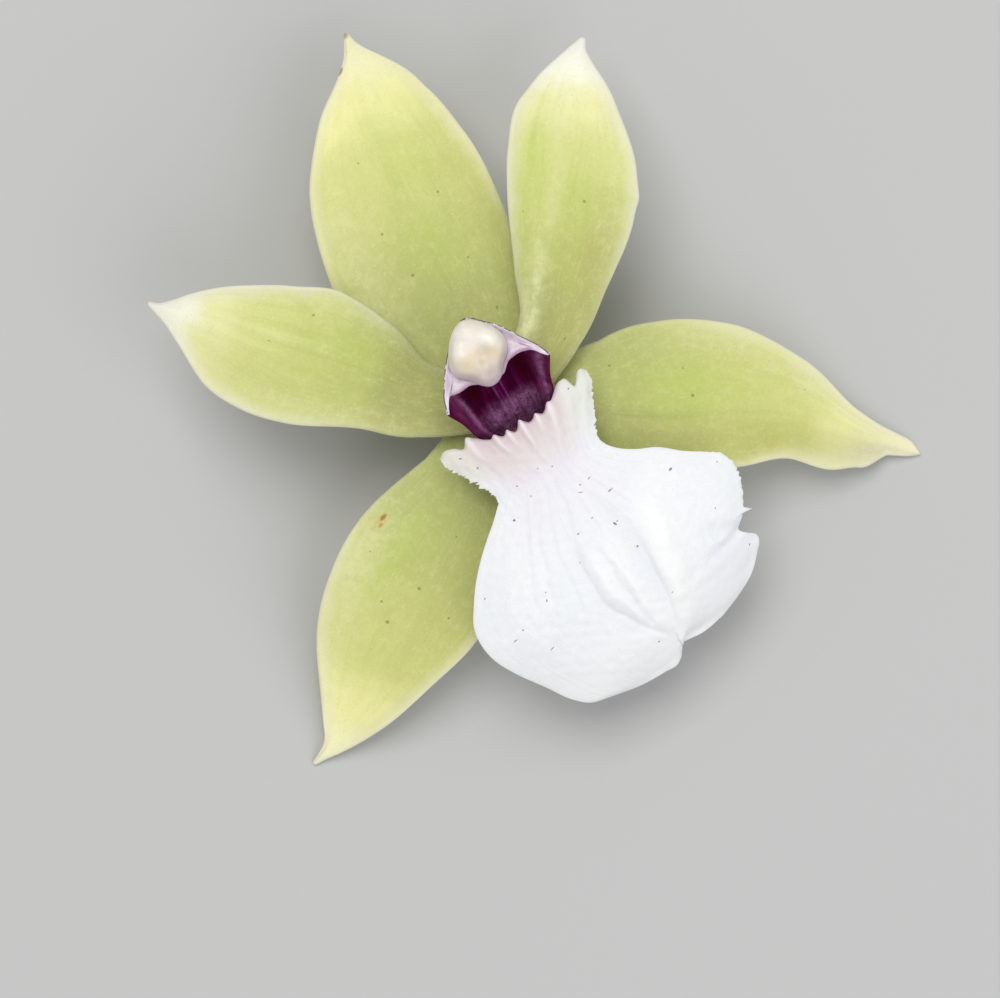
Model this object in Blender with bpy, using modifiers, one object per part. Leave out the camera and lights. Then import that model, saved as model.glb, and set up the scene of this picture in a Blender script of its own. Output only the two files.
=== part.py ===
"""One zygopetalum orchid flower, picked with its stalk and laid face up.

Frame: +Z up, +Y towards the dorsal sepal, +X to the viewer's right when the flower is looked at.
The origin is on the resting surface, under the middle of the flower's outline.

The shapes are worked out in millimetres in the flower's own frame, whose origin is the centre of
the receptacle, level with the roots of the sepals. to_part_frame() moves them to the part's frame.
"""

import math

import bmesh
import bpy
import numpy as np

MM = 0.001

# Driving dimensions, millimetres
RECEPTACLE_HEIGHT = 11.0  # sepal roots above the resting surface
OUTLINE_MIDDLE = (-1.0, 4.5)  # middle of the outline, from the receptacle's centre
SEAT_GAP = 0.3  # left between two pieces that touch
RECEPTACLE_RADIUS = 2.6
RECEPTACLE_TOP = 2.0
ROOT_RADIUS = RECEPTACLE_RADIUS + SEAT_GAP + 0.1  # the tepals' roots stand round the receptacle
STALK_END_Y = 30.5
SEPAL_THICKNESS = 1.1
PETAL_THICKNESS = 1.0
MARGIN_SHARE = 0.45  # thickness at a tepal's margin, as a share of its middle
TIP_HALF_WIDTH = 0.3
COLUMN_FOOT = RECEPTACLE_TOP + SEAT_GAP
COLUMN_TOP = 10.9
HOOD_HALF_WIDTH = 5.35
CAP_HEIGHT = 2.5
CAP_WALL = 0.6

# Mesh fineness
TEPAL_ROWS = 16
TEPAL_COLUMNS = 8
LIP_ROWS = 18
LIP_COLUMNS = 34
STALK_SIDES = 18

# Places along a tepal, from root to tip, at which its shape is given
STATIONS = (0.0, 0.12, 0.3, 0.5, 0.65, 0.8, 0.92, 1.0)

# midrib: x, y, z at each station. left, right: half widths on the two sides of the midrib, seen
# looking down from root to tip. cup: how far the margins stand above the midrib.
TEPALS = {
    "dorsal_sepal": {
        "midrib": (
            (0.0, 3.0, -0.6), (0.3, 7.0, -0.5), (0.5, 13.2, -0.1), (0.7, 20.1, 0.5),
            (1.2, 25.1, 0.4), (2.2, 30.3, -0.7), (3.5, 34.3, -2.3), (4.7, 36.9, -3.8),
        ),
        "left": (2.4, 6.2, 8.9, 8.3, 6.7, 3.6, 0.7, 0.0),
        "right": (2.4, 5.3, 7.7, 8.5, 8.0, 6.4, 2.9, 0.0),
        "cup": (0.0, 0.0, -0.1, 0.2, 0.5, 0.5, 0.2, 0.0),
    },
    "lateral_sepal_left": {
        "midrib": (
            (-2.55, -1.6, -0.6), (-6.2, -4.2, -0.9), (-11.3, -7.7, -2.2), (-17.2, -11.1, -4.2),
            (-21.6, -13.6, -6.2), (-26.2, -16.2, -8.4), (-30.0, -18.0, -10.1), (-32.6, -19.0, -10.73),
        ),
        "left": (2.3, 3.6, 6.1, 6.7, 5.3, 3.5, 1.6, 0.0),
        "right": (2.3, 4.9, 7.6, 8.0, 6.9, 4.2, 1.2, 0.0),
        "cup": (0.0, 0.0, 0.3, 0.9, 1.2, 1.0, 0.3, 0.0),
    },
    "lateral_sepal_right": {
        "midrib": (
            (2.55, -1.6, -0.6), (6.4, -4.3, -0.9), (11.6, -7.6, -2.2), (17.8, -10.9, -4.2),
            (22.1, -14.0, -6.2), (25.8, -17.9, -8.4), (28.6, -21.2, -10.1), (30.5, -23.3, -10.73),
        ),
        "left": (2.3, 6.3, 8.3, 7.5, 5.1, 2.3, 1.0, 0.0),
        "right": (2.3, 3.1, 5.8, 5.4, 4.3, 3.7, 1.1, 0.0),
        "cup": (0.0, 0.0, 0.3, 0.8, 1.0, 0.8, 0.3, 0.0),
    },
    "petal_left": {
        "midrib": (
            (-2.2, 2.05, 1.2), (-5.6, 4.9, 1.5), (-9.1, 8.8, 2.0), (-13.0, 13.4, 2.3),
            (-16.0, 16.9, 2.2), (-18.9, 20.4, 1.6), (-21.5, 23.1, 0.6), (-23.3, 24.8, -0.4),
        ),
        "left": (2.3, 4.3, 5.2, 6.8, 6.8, 5.2, 2.0, 0.0),
        "right": (1.8, 2.3, 4.8, 5.9, 4.8, 3.0, 1.0, 0.0),
        "cup": (0.0, 0.1, 0.4, 0.6, 0.7, 0.5, 0.2, 0.0),
    },
    "petal_right": {
        "midrib": (
            (2.2, 2.05, 1.2), (5.7, 4.6, 1.5), (9.3, 8.5, 2.0), (13.3, 13.0, 2.3),
            (16.2, 16.5, 2.2), (19.0, 20.1, 1.6), (21.2, 23.2, 0.6), (22.9, 25.1, -0.4),
        ),
        "left": (1.8, 1.8, 3.3, 5.0, 5.6, 5.1, 2.5, 0.0),
        "right": (2.3, 4.1, 5.5, 6.6, 6.0, 3.9, 1.5, 0.0),
        "cup": (0.0, 0.1, 0.4, 0.6, 0.7, 0.5, 0.2, 0.0),
    },
}

# The lip's upper face, from the toothed edge of the callus to the tip: its two edges and middle
LIP_STATIONS = (0.0, 0.1, 0.22, 0.38, 0.55, 0.7, 0.83, 0.93, 1.0)
LIP_LEFT = (
    (-7.9, -0.9, 4.4), (-6.9, -3.5, 4.0), (-5.4, -6.7, 3.4), (-9.6, -10.6, 2.6),
    (-12.9, -14.9, 1.2), (-12.9, -18.8, 0.0), (-10.6, -22.9, -1.4), (-8.5, -26.0, -2.6),
    (-5.2, -27.5, -3.2),
)
LIP_MIDDLE = (
    (-0.2, -2.0, 5.6), (-0.1, -4.4, 5.0), (0.0, -7.2, 4.2), (0.2, -11.4, 3.6),
    (0.5, -16.2, 2.9), (0.7, -20.4, 1.5), (0.9, -24.2, -0.4), (0.9, -26.8, -2.2),
    (0.8, -28.0, -3.1),
)
LIP_RIGHT = (
    (7.4, -0.8, 4.4), (6.2, -4.4, 4.0), (5.4, -7.0, 3.4), (10.0, -10.4, 2.6),
    (14.5, -14.2, 1.2), (13.7, -18.6, 0.0), (12.9, -22.3, -1.4), (9.8, -25.3, -2.5),
    (6.4, -26.7, -3.1),
)
LIP_THICKNESS = 0.9
CALLUS_THICKNESS = 2.4
CALLUS_TEETH_X = (-4.9, -2.7, -1.4, -0.1, 1.4, 2.9, 5.3)
TOOTH_LENGTH = 0.5
RIDGE_HEIGHT = 0.35

# The stalk's middle line from the receptacle down to the cut end, with the radius at each point
STALK = (
    ((0.0, 0.0, RECEPTACLE_TOP), RECEPTACLE_RADIUS),
    ((0.0, 0.0, -1.5), 2.6),
    ((0.0, 0.6, -4.6), 2.7),
    ((0.1, 3.4, -7.3), 2.6),
    ((0.3, 8.2, -8.7), 2.2),
    ((0.7, 15.0, -9.2), 1.75),
    ((1.0, 23.0, -9.35), 1.6),
    ((0.8, STALK_END_Y, -9.2), 1.75),
)
RIB_COUNT = 6
RIB_DEPTH = 0.08

# The column's cross-sections, from its foot to its hood: height share, half width, y of the wings'
# front edges, depth of the hollow between the wings, y of the back, and roundness of the back
COLUMN_SECTIONS = (
    (0.0, 2.7, -2.4, 0.2, 3.0, 2.0),
    (0.06, 2.9, -2.4, 0.2, 3.3, 2.0),
    (0.1, 3.2, -1.5, 0.2, 3.5, 2.0),
    (0.3, 3.7, -1.4, 0.5, 4.5, 1.9),
    (0.45, 4.1, -0.8, 1.3, 5.3, 1.8),
    (0.6, 4.5, 0.1, 1.9, 6.2, 1.6),
    (0.75, 4.9, 1.0, 2.4, 7.1, 1.45),
    (0.9, 5.2, 1.8, 2.2, 8.1, 1.3),
    (1.0, HOOD_HALF_WIDTH, 2.2, 1.3, 8.8, 1.25),
)
HOOD_SLOPE = 0.28  # rise of the column's top towards its back
HOOD_MIDDLE_Y = 5.6
COLUMN_BACK_POINTS = 18
COLUMN_FRONT_POINTS = 14

COLOURS = {
    "ovary_pedicel": (0.33, 0.42, 0.12),
    "sepal": (0.62, 0.66, 0.22),
    "petal": (0.60, 0.66, 0.22),
    "lip": (0.91, 0.92, 0.94),
    "column": (0.13, 0.01, 0.06),
    "anther_cap": (0.83, 0.72, 0.53),
    "pollinarium": (0.80, 0.62, 0.16),
}


def smooth_curve(knots, values, places):
    """Values at the places, on a smooth curve through the values at the knots."""
    knots = np.asarray(knots, float)
    values = np.asarray(values, float)
    places = np.clip(np.asarray(places, float), knots[0], knots[-1])
    slopes = np.gradient(values, knots, axis=0)
    left = np.clip(np.searchsorted(knots, places, side="right") - 1, 0, len(knots) - 2)
    step = knots[left + 1] - knots[left]
    u = (places - knots[left]) / step
    if values.ndim == 2:
        step = step[..., None]
        u = u[..., None]
    blend = u * u * (3.0 - 2.0 * u)
    start_slope = u * (1.0 - u) ** 2 * step * slopes[left]
    end_slope = u * u * (u - 1.0) * step * slopes[left + 1]
    return values[left] * (1.0 - blend) + values[left + 1] * blend + start_slope + end_slope


def make_material(name, colour, roughness=0.5):
    """A plain Principled material."""
    material = bpy.data.materials.new(name)
    material.use_nodes = True
    shader = material.node_tree.nodes["Principled BSDF"]
    shader.inputs["Base Color"].default_value = (*colour, 1.0)
    shader.inputs["Roughness"].default_value = roughness
    shader.inputs["Metallic"].default_value = 0.0
    return material


def to_part_frame(point):
    """Millimetres in the flower's frame to metres in the part's frame."""
    x, y, z = point
    middle_x, middle_y = OUTLINE_MIDDLE
    return ((x - middle_x) * MM, (y - middle_y) * MM, (z + RECEPTACLE_HEIGHT) * MM)


def add_object(name, bm, kind, collection):
    """The bmesh, whose points are millimetres in the flower's frame, as a named object."""
    for vert in bm.verts:
        vert.co = to_part_frame(vert.co)
    bmesh.ops.recalc_face_normals(bm, faces=bm.faces)
    mesh = bpy.data.meshes.new(name)
    bm.to_mesh(mesh)
    bm.free()
    piece = bpy.data.objects.new(name, mesh)
    collection.objects.link(piece)
    mesh.materials.append(make_material(name, COLOURS[kind]))
    mesh.shade_smooth()
    mesh.set_sharp_from_angle(angle=math.radians(50))
    return piece


def loft(rings):
    """A closed bmesh through rings of equally many points, with a fan of faces on each end."""
    bm = bmesh.new()
    rows = [[bm.verts.new(point) for point in ring] for ring in rings]
    for lower, upper in zip(rows, rows[1:]):
        for i in range(len(lower)):
            j = (i + 1) % len(lower)
            bm.faces.new((lower[i], lower[j], upper[j], upper[i]))
    for row in (rows[0], rows[-1]):
        centre = bm.verts.new(np.mean([vert.co[:] for vert in row], axis=0))
        for i in range(len(row)):
            bm.faces.new((row[i], row[(i + 1) % len(row)], centre))
    return bm


def tepal_point(shape, s, t):
    """Point of a tepal's middle surface: s from root to tip, t from -1 (right) to 1 (left)."""
    midrib = smooth_curve(STATIONS, shape["midrib"], s)
    ahead = smooth_curve(STATIONS, shape["midrib"], min(s + 0.01, 1.0))
    behind = smooth_curve(STATIONS, shape["midrib"], max(s - 0.01, 0.0))
    along = (ahead - behind)[:2]
    along = along / np.linalg.norm(along)
    across = np.array((-along[1], along[0]))
    side = "left" if t > 0 else "right"
    half_width = max(float(smooth_curve(STATIONS, shape[side], s)), TIP_HALF_WIDTH)
    offset = t * half_width
    root_wrap = ROOT_RADIUS - math.sqrt(max(ROOT_RADIUS ** 2 - offset ** 2, 0.0))
    root_wrap *= max(1.0 - s / STATIONS[1], 0.0)
    x, y = midrib[:2] + across * offset - along * root_wrap
    z = midrib[2] + float(smooth_curve(STATIONS, shape["cup"], s)) * t * t
    return x, y, z


def add_tepal(name, shape, thickness, kind, collection):
    """A sepal or petal: a curved sheet, thick along its midrib and thin at its margins."""
    bm = bmesh.new()
    bmesh.ops.create_grid(bm, x_segments=TEPAL_ROWS, y_segments=TEPAL_COLUMNS, size=1.0)
    shares = []
    for vert in bm.verts:
        s = (vert.co.x + 1.0) / 2.0
        t = vert.co.y
        shares.append((1.0 - t * t) * min(1.0, 1.6 * (1.0 - s) + 0.1))
        vert.co = tepal_point(shape, s, t)
    piece = add_object(name, bm, kind, collection)
    group = piece.vertex_groups.new(name="thickness")
    for index, share in enumerate(shares):
        group.add([index], share, "REPLACE")
    solidify = piece.modifiers.new("thickness", "SOLIDIFY")
    solidify.thickness = thickness * MM
    solidify.offset = 0.0
    solidify.vertex_group = group.name
    solidify.thickness_vertex_group = MARGIN_SHARE
    return piece


def lip_top(s, v):
    """Point of the lip's upper face: s from the callus to the tip, v from -1 (left) to 1."""
    left = smooth_curve(LIP_STATIONS, LIP_LEFT, s)
    middle = smooth_curve(LIP_STATIONS, LIP_MIDDLE, s)
    right = smooth_curve(LIP_STATIONS, LIP_RIGHT, s)
    point = middle * (1.0 - v * v) + right * (v * v + v) / 2.0 + left * (v * v - v) / 2.0
    start_x = lip_start_x(v)
    nearest = min(abs(start_x - tooth) for tooth in CALLUS_TEETH_X)
    crest = math.exp(-((nearest / 0.4) ** 2))
    fade = max(1.0 - s / 0.28, 0.0)
    point[1] += (crest - 0.5) * TOOTH_LENGTH * max(1.0 - s / 0.06, 0.0) * (1.0 - v * v)
    point[2] += crest * RIDGE_HEIGHT * fade * (1.0 - v ** 4)
    return point


def lip_start_x(v):
    """x on the callus's toothed edge of the line v that runs down the lip."""
    left, middle, right = LIP_LEFT[0][0], LIP_MIDDLE[0][0], LIP_RIGHT[0][0]
    return middle * (1.0 - v * v) + right * (v * v + v) / 2.0 + left * (v * v - v) / 2.0


def lip_thickness(s, v):
    """Depth of the lip below its upper face: thick at the callus, thin at its edges."""
    callus = max(1.0 - s / 0.2, 0.0) ** 1.5 * max(1.0 - (v / 0.62) ** 4, 0.0)
    blade = LIP_THICKNESS * (1.0 - 0.5 * v * v) * (1.0 - 0.4 * s)
    return blade + (CALLUS_THICKNESS - LIP_THICKNESS) * callus


def add_lip(collection):
    """The lip: blade, side lobes and ridged callus, a closed sheet lofted across its width."""
    rings = []
    for row in range(LIP_ROWS + 1):
        s = row / LIP_ROWS
        across = np.linspace(-1.0, 1.0, LIP_COLUMNS + 1)
        top = [lip_top(s, v) for v in across]
        bottom = [point - (0.0, 0.0, lip_thickness(s, v)) for point, v in zip(top, across)]
        rings.append(top + bottom[::-1])
    bm = bmesh.new()
    rows = [[bm.verts.new(point) for point in ring] for ring in rings]
    count = len(rows[0])
    for lower, upper in zip(rows, rows[1:]):
        for i in range(count):
            j = (i + 1) % count
            bm.faces.new((lower[i], lower[j], upper[j], upper[i]))
    for row in (rows[0], rows[-1]):
        for i in range(count // 2 - 1):
            bm.faces.new((row[i], row[i + 1], row[count - 2 - i], row[count - 1 - i]))
    return add_object("lip", bm, "lip", collection)


def hood_height(y):
    """How far the column's top stands above its middle at y, where it slopes up to the back."""
    return HOOD_SLOPE * (y - HOOD_MIDDLE_Y)


def column_ring(share, half_width, wing_y, hollow, back_y, roundness):
    """One cross-section of the column, from the right wing round the back, then the front."""
    z_middle = COLUMN_FOOT + share * (COLUMN_TOP - COLUMN_FOOT)
    points = []
    for i in range(COLUMN_BACK_POINTS + 1):
        angle = math.pi * i / COLUMN_BACK_POINTS
        x = math.copysign(abs(math.cos(angle)) ** (2.0 / roundness), math.cos(angle))
        rise = math.sin(angle) ** (2.0 / roundness)
        points.append((half_width * x, wing_y + (back_y - wing_y) * rise))
    front_half = half_width - 0.35
    for i in range(COLUMN_FRONT_POINTS + 1):
        x = -1.0 + 2.0 * i / COLUMN_FRONT_POINTS
        depth = 1.0 - x ** 4
        points.append((front_half * x, wing_y - 0.05 + hollow * depth))
    return [(x, y, z_middle + share ** 2 * hood_height(y)) for x, y in points]


def add_column(collection):
    """The column: hollow-faced, winged, and dished on top where the anther cap sits."""
    sections = np.array(COLUMN_SECTIONS)
    rings = []
    for share in (0.0, 0.06, 0.1, 0.2, 0.3, 0.4, 0.5, 0.6, 0.7, 0.8, 0.9, 1.0):
        rings.append(column_ring(*smooth_curve(sections[:, 0], sections, share)))
    rim = np.array(rings[-1])
    middle = np.array((0.0, HOOD_MIDDLE_Y, COLUMN_TOP))
    for scale, depth in ((0.86, 0.05), (0.74, 0.7), (0.4, 0.85)):
        ring = middle + (rim - middle) * (scale, scale, 1.0)
        ring[:, 2] = COLUMN_TOP + hood_height(ring[:, 1]) - depth
        rings.append(ring)
    return add_object("column", loft(rings), "column", collection)


def cap_outline(angle):
    """x and y of the anther cap's edge: round at the back, narrowing to a beak at the lip."""
    x = 2.7 * math.cos(angle)
    y = math.sin(angle)
    if y < 0:
        x *= 1.0 - 0.3 * y * y
        return x, HOOD_MIDDLE_Y + 3.1 * y
    return x, HOOD_MIDDLE_Y + 2.5 * y


def add_anther_cap(collection):
    """The anther cap: a thin dome, open below, over the column's dish."""
    bm = bmesh.new()
    bmesh.ops.create_uvsphere(bm, u_segments=20, v_segments=12, radius=1.0)
    lower = [vert for vert in bm.verts if vert.co.z < -0.01]
    bmesh.ops.delete(bm, geom=lower, context="VERTS")
    for vert in bm.verts:
        rise = vert.co.z
        angle = math.atan2(vert.co.y, vert.co.x)
        reach = min(math.hypot(vert.co.x, vert.co.y), 1.0) ** 0.8
        edge_x, edge_y = cap_outline(angle)
        x = edge_x * reach
        y = HOOD_MIDDLE_Y + (edge_y - HOOD_MIDDLE_Y) * reach
        cleft = 0.25 * math.exp(-((y - 4.2) / 0.6) ** 2) * rise
        seat = COLUMN_TOP + hood_height(y) + SEAT_GAP
        vert.co = (x, y, seat + CAP_HEIGHT * rise - cleft)
    piece = add_object("anther_cap", bm, "anther_cap", collection)
    solidify = piece.modifiers.new("wall", "SOLIDIFY")
    solidify.thickness = CAP_WALL * MM
    solidify.offset = -1.0
    return piece


def ellipsoid(name, centre, radii, collection):
    """A small ellipsoid, in the flower's frame."""
    bm = bmesh.new()
    bmesh.ops.create_uvsphere(bm, u_segments=10, v_segments=6, radius=1.0)
    for vert in bm.verts:
        vert.co = np.array(centre) + np.array(vert.co) * radii
    return add_object(name, bm, "pollinarium", collection)


def add_pollinarium(collection, cutters):
    """The pollinarium: four pollinia joined on a short strap, hidden under the anther cap."""
    floor_z = COLUMN_TOP - 0.35
    strap = ellipsoid("pollinarium", (0.0, 4.9, floor_z + 0.35), (0.5, 1.5, 0.28), collection)
    for index, (x, y) in enumerate(((-0.62, 6.3), (0.62, 6.3), (-0.5, 5.5), (0.5, 5.5))):
        centre = (x, y, floor_z + 0.75 + hood_height(y))
        grain = ellipsoid(f"pollinium_{index}", centre, (0.66, 0.75, 0.6), cutters)
        grain.display_type = "WIRE"
        grain.hide_render = True
        union = strap.modifiers.new(f"join_{index}", "BOOLEAN")
        union.operation = "UNION"
        union.solver = "EXACT"
        union.object = grain
    return strap


def add_stalk(collection):
    """The receptacle, ribbed ovary and pedicel, down to the cut end on the surface."""
    path = np.array([point for point, _ in STALK])
    radii = np.array([radius for _, radius in STALK])
    lengths = np.linalg.norm(np.diff(path, axis=0), axis=1)
    knots = np.concatenate(((0.0,), np.cumsum(lengths))) / lengths.sum()
    rings = []
    for place in np.linspace(0.0, 1.0, 21):
        centre = smooth_curve(knots, path, place)
        ahead = smooth_curve(knots, path, min(place + 0.01, 1.0))
        behind = smooth_curve(knots, path, max(place - 0.01, 0.0))
        along = (ahead - behind) / np.linalg.norm(ahead - behind)
        up = np.cross(along, (1.0, 0.0, 0.0))
        up = up / np.linalg.norm(up)
        side = np.cross(up, along)
        radius = float(smooth_curve(knots, radii, place))
        ribs = RIB_DEPTH * math.exp(-(((place - 0.28) / 0.17) ** 2))
        ring = []
        for i in range(STALK_SIDES):
            angle = math.tau * i / STALK_SIDES
            reach = radius * (1.0 - ribs * (1.0 - math.cos(RIB_COUNT * angle)))
            ring.append(centre + reach * (math.cos(angle) * side + math.sin(angle) * up))
        rings.append(ring)
    return add_object("ovary_pedicel", loft(rings), "ovary_pedicel", collection)


def main():
    for leftover in list(bpy.data.objects):
        bpy.data.objects.remove(leftover)
    flower = bpy.data.collections.new("zygopetalum_flower")
    cutters = bpy.data.collections.new("cutters")
    bpy.context.scene.collection.children.link(flower)
    bpy.context.scene.collection.children.link(cutters)
    add_stalk(flower)
    for name, shape in TEPALS.items():
        kind = "petal" if name.startswith("petal") else "sepal"
        thickness = PETAL_THICKNESS if kind == "petal" else SEPAL_THICKNESS
        add_tepal(name, shape, thickness, kind, flower)
    add_lip(flower)
    add_column(flower)
    add_anther_cap(flower)
    add_pollinarium(flower, cutters)


main()
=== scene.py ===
"""Zygopetalum orchid flower: the finished look of each piece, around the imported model.

The shapes are worked out in millimetres in the flower's own frame, as in the part's source: its
origin is the centre of the receptacle, level with the roots of the sepals, +Z comes out of the
flower's face and +Y points to the dorsal sepal. to_part_frame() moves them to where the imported
model has them.
"""

import math

import bmesh
import bpy
import numpy as np
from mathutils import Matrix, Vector


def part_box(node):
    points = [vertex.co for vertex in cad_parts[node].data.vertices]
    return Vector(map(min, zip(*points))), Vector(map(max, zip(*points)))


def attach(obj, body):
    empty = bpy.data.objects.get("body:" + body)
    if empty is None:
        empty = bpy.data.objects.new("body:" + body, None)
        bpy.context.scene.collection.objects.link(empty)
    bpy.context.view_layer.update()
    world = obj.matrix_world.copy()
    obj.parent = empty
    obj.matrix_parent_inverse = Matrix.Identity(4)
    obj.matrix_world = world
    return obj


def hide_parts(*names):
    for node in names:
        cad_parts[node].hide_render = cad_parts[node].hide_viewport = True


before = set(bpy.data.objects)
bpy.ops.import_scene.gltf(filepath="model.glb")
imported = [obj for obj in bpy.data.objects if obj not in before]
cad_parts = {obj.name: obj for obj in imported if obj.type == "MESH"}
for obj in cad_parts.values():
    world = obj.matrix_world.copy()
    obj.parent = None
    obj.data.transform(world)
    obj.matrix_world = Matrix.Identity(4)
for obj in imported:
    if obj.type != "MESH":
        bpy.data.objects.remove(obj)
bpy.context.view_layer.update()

MM = 0.001

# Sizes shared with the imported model, millimetres
RECEPTACLE_RADIUS = 2.6
RECEPTACLE_TOP = 2.0
SEAT_GAP = 0.3
ROOT_RADIUS = RECEPTACLE_RADIUS + SEAT_GAP + 0.1
ROOT_REACH = 0.45  # the roots grow this much nearer the receptacle than the solids do
COLUMN_FOOT = RECEPTACLE_TOP + SEAT_GAP
COLUMN_TOP = 10.9
HOOD_HALF_WIDTH = 5.3
HOOD_MIDDLE_Y = 5.6
HOOD_SLOPE = 0.28
CAP_FRONT = 3.1  # from the hood's middle to the cap's beak

# Mesh fineness
TEPAL_ROWS = 170
TEPAL_COLUMNS = 84
LIP_ROWS = 250
LIP_COLUMNS = 198
STALK_ROWS = 200
STALK_SIDES = 96
COLUMN_ROWS = 90
COLUMN_SIDE_POINTS = 120  # round the back, and as many across the front
HOOD_ROWS = 40
CAP_RINGS = 60
CAP_SIDES = 120

# Places along a tepal, from root to tip, at which its midrib and its widths are given
STATIONS = (0.0, 0.12, 0.3, 0.5, 0.65, 0.8, 0.92, 1.0)
WIDTH_STATIONS = (0.0, 0.12, 0.3, 0.5, 0.65, 0.8, 0.88, 0.93, 0.97, 1.0)

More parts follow.
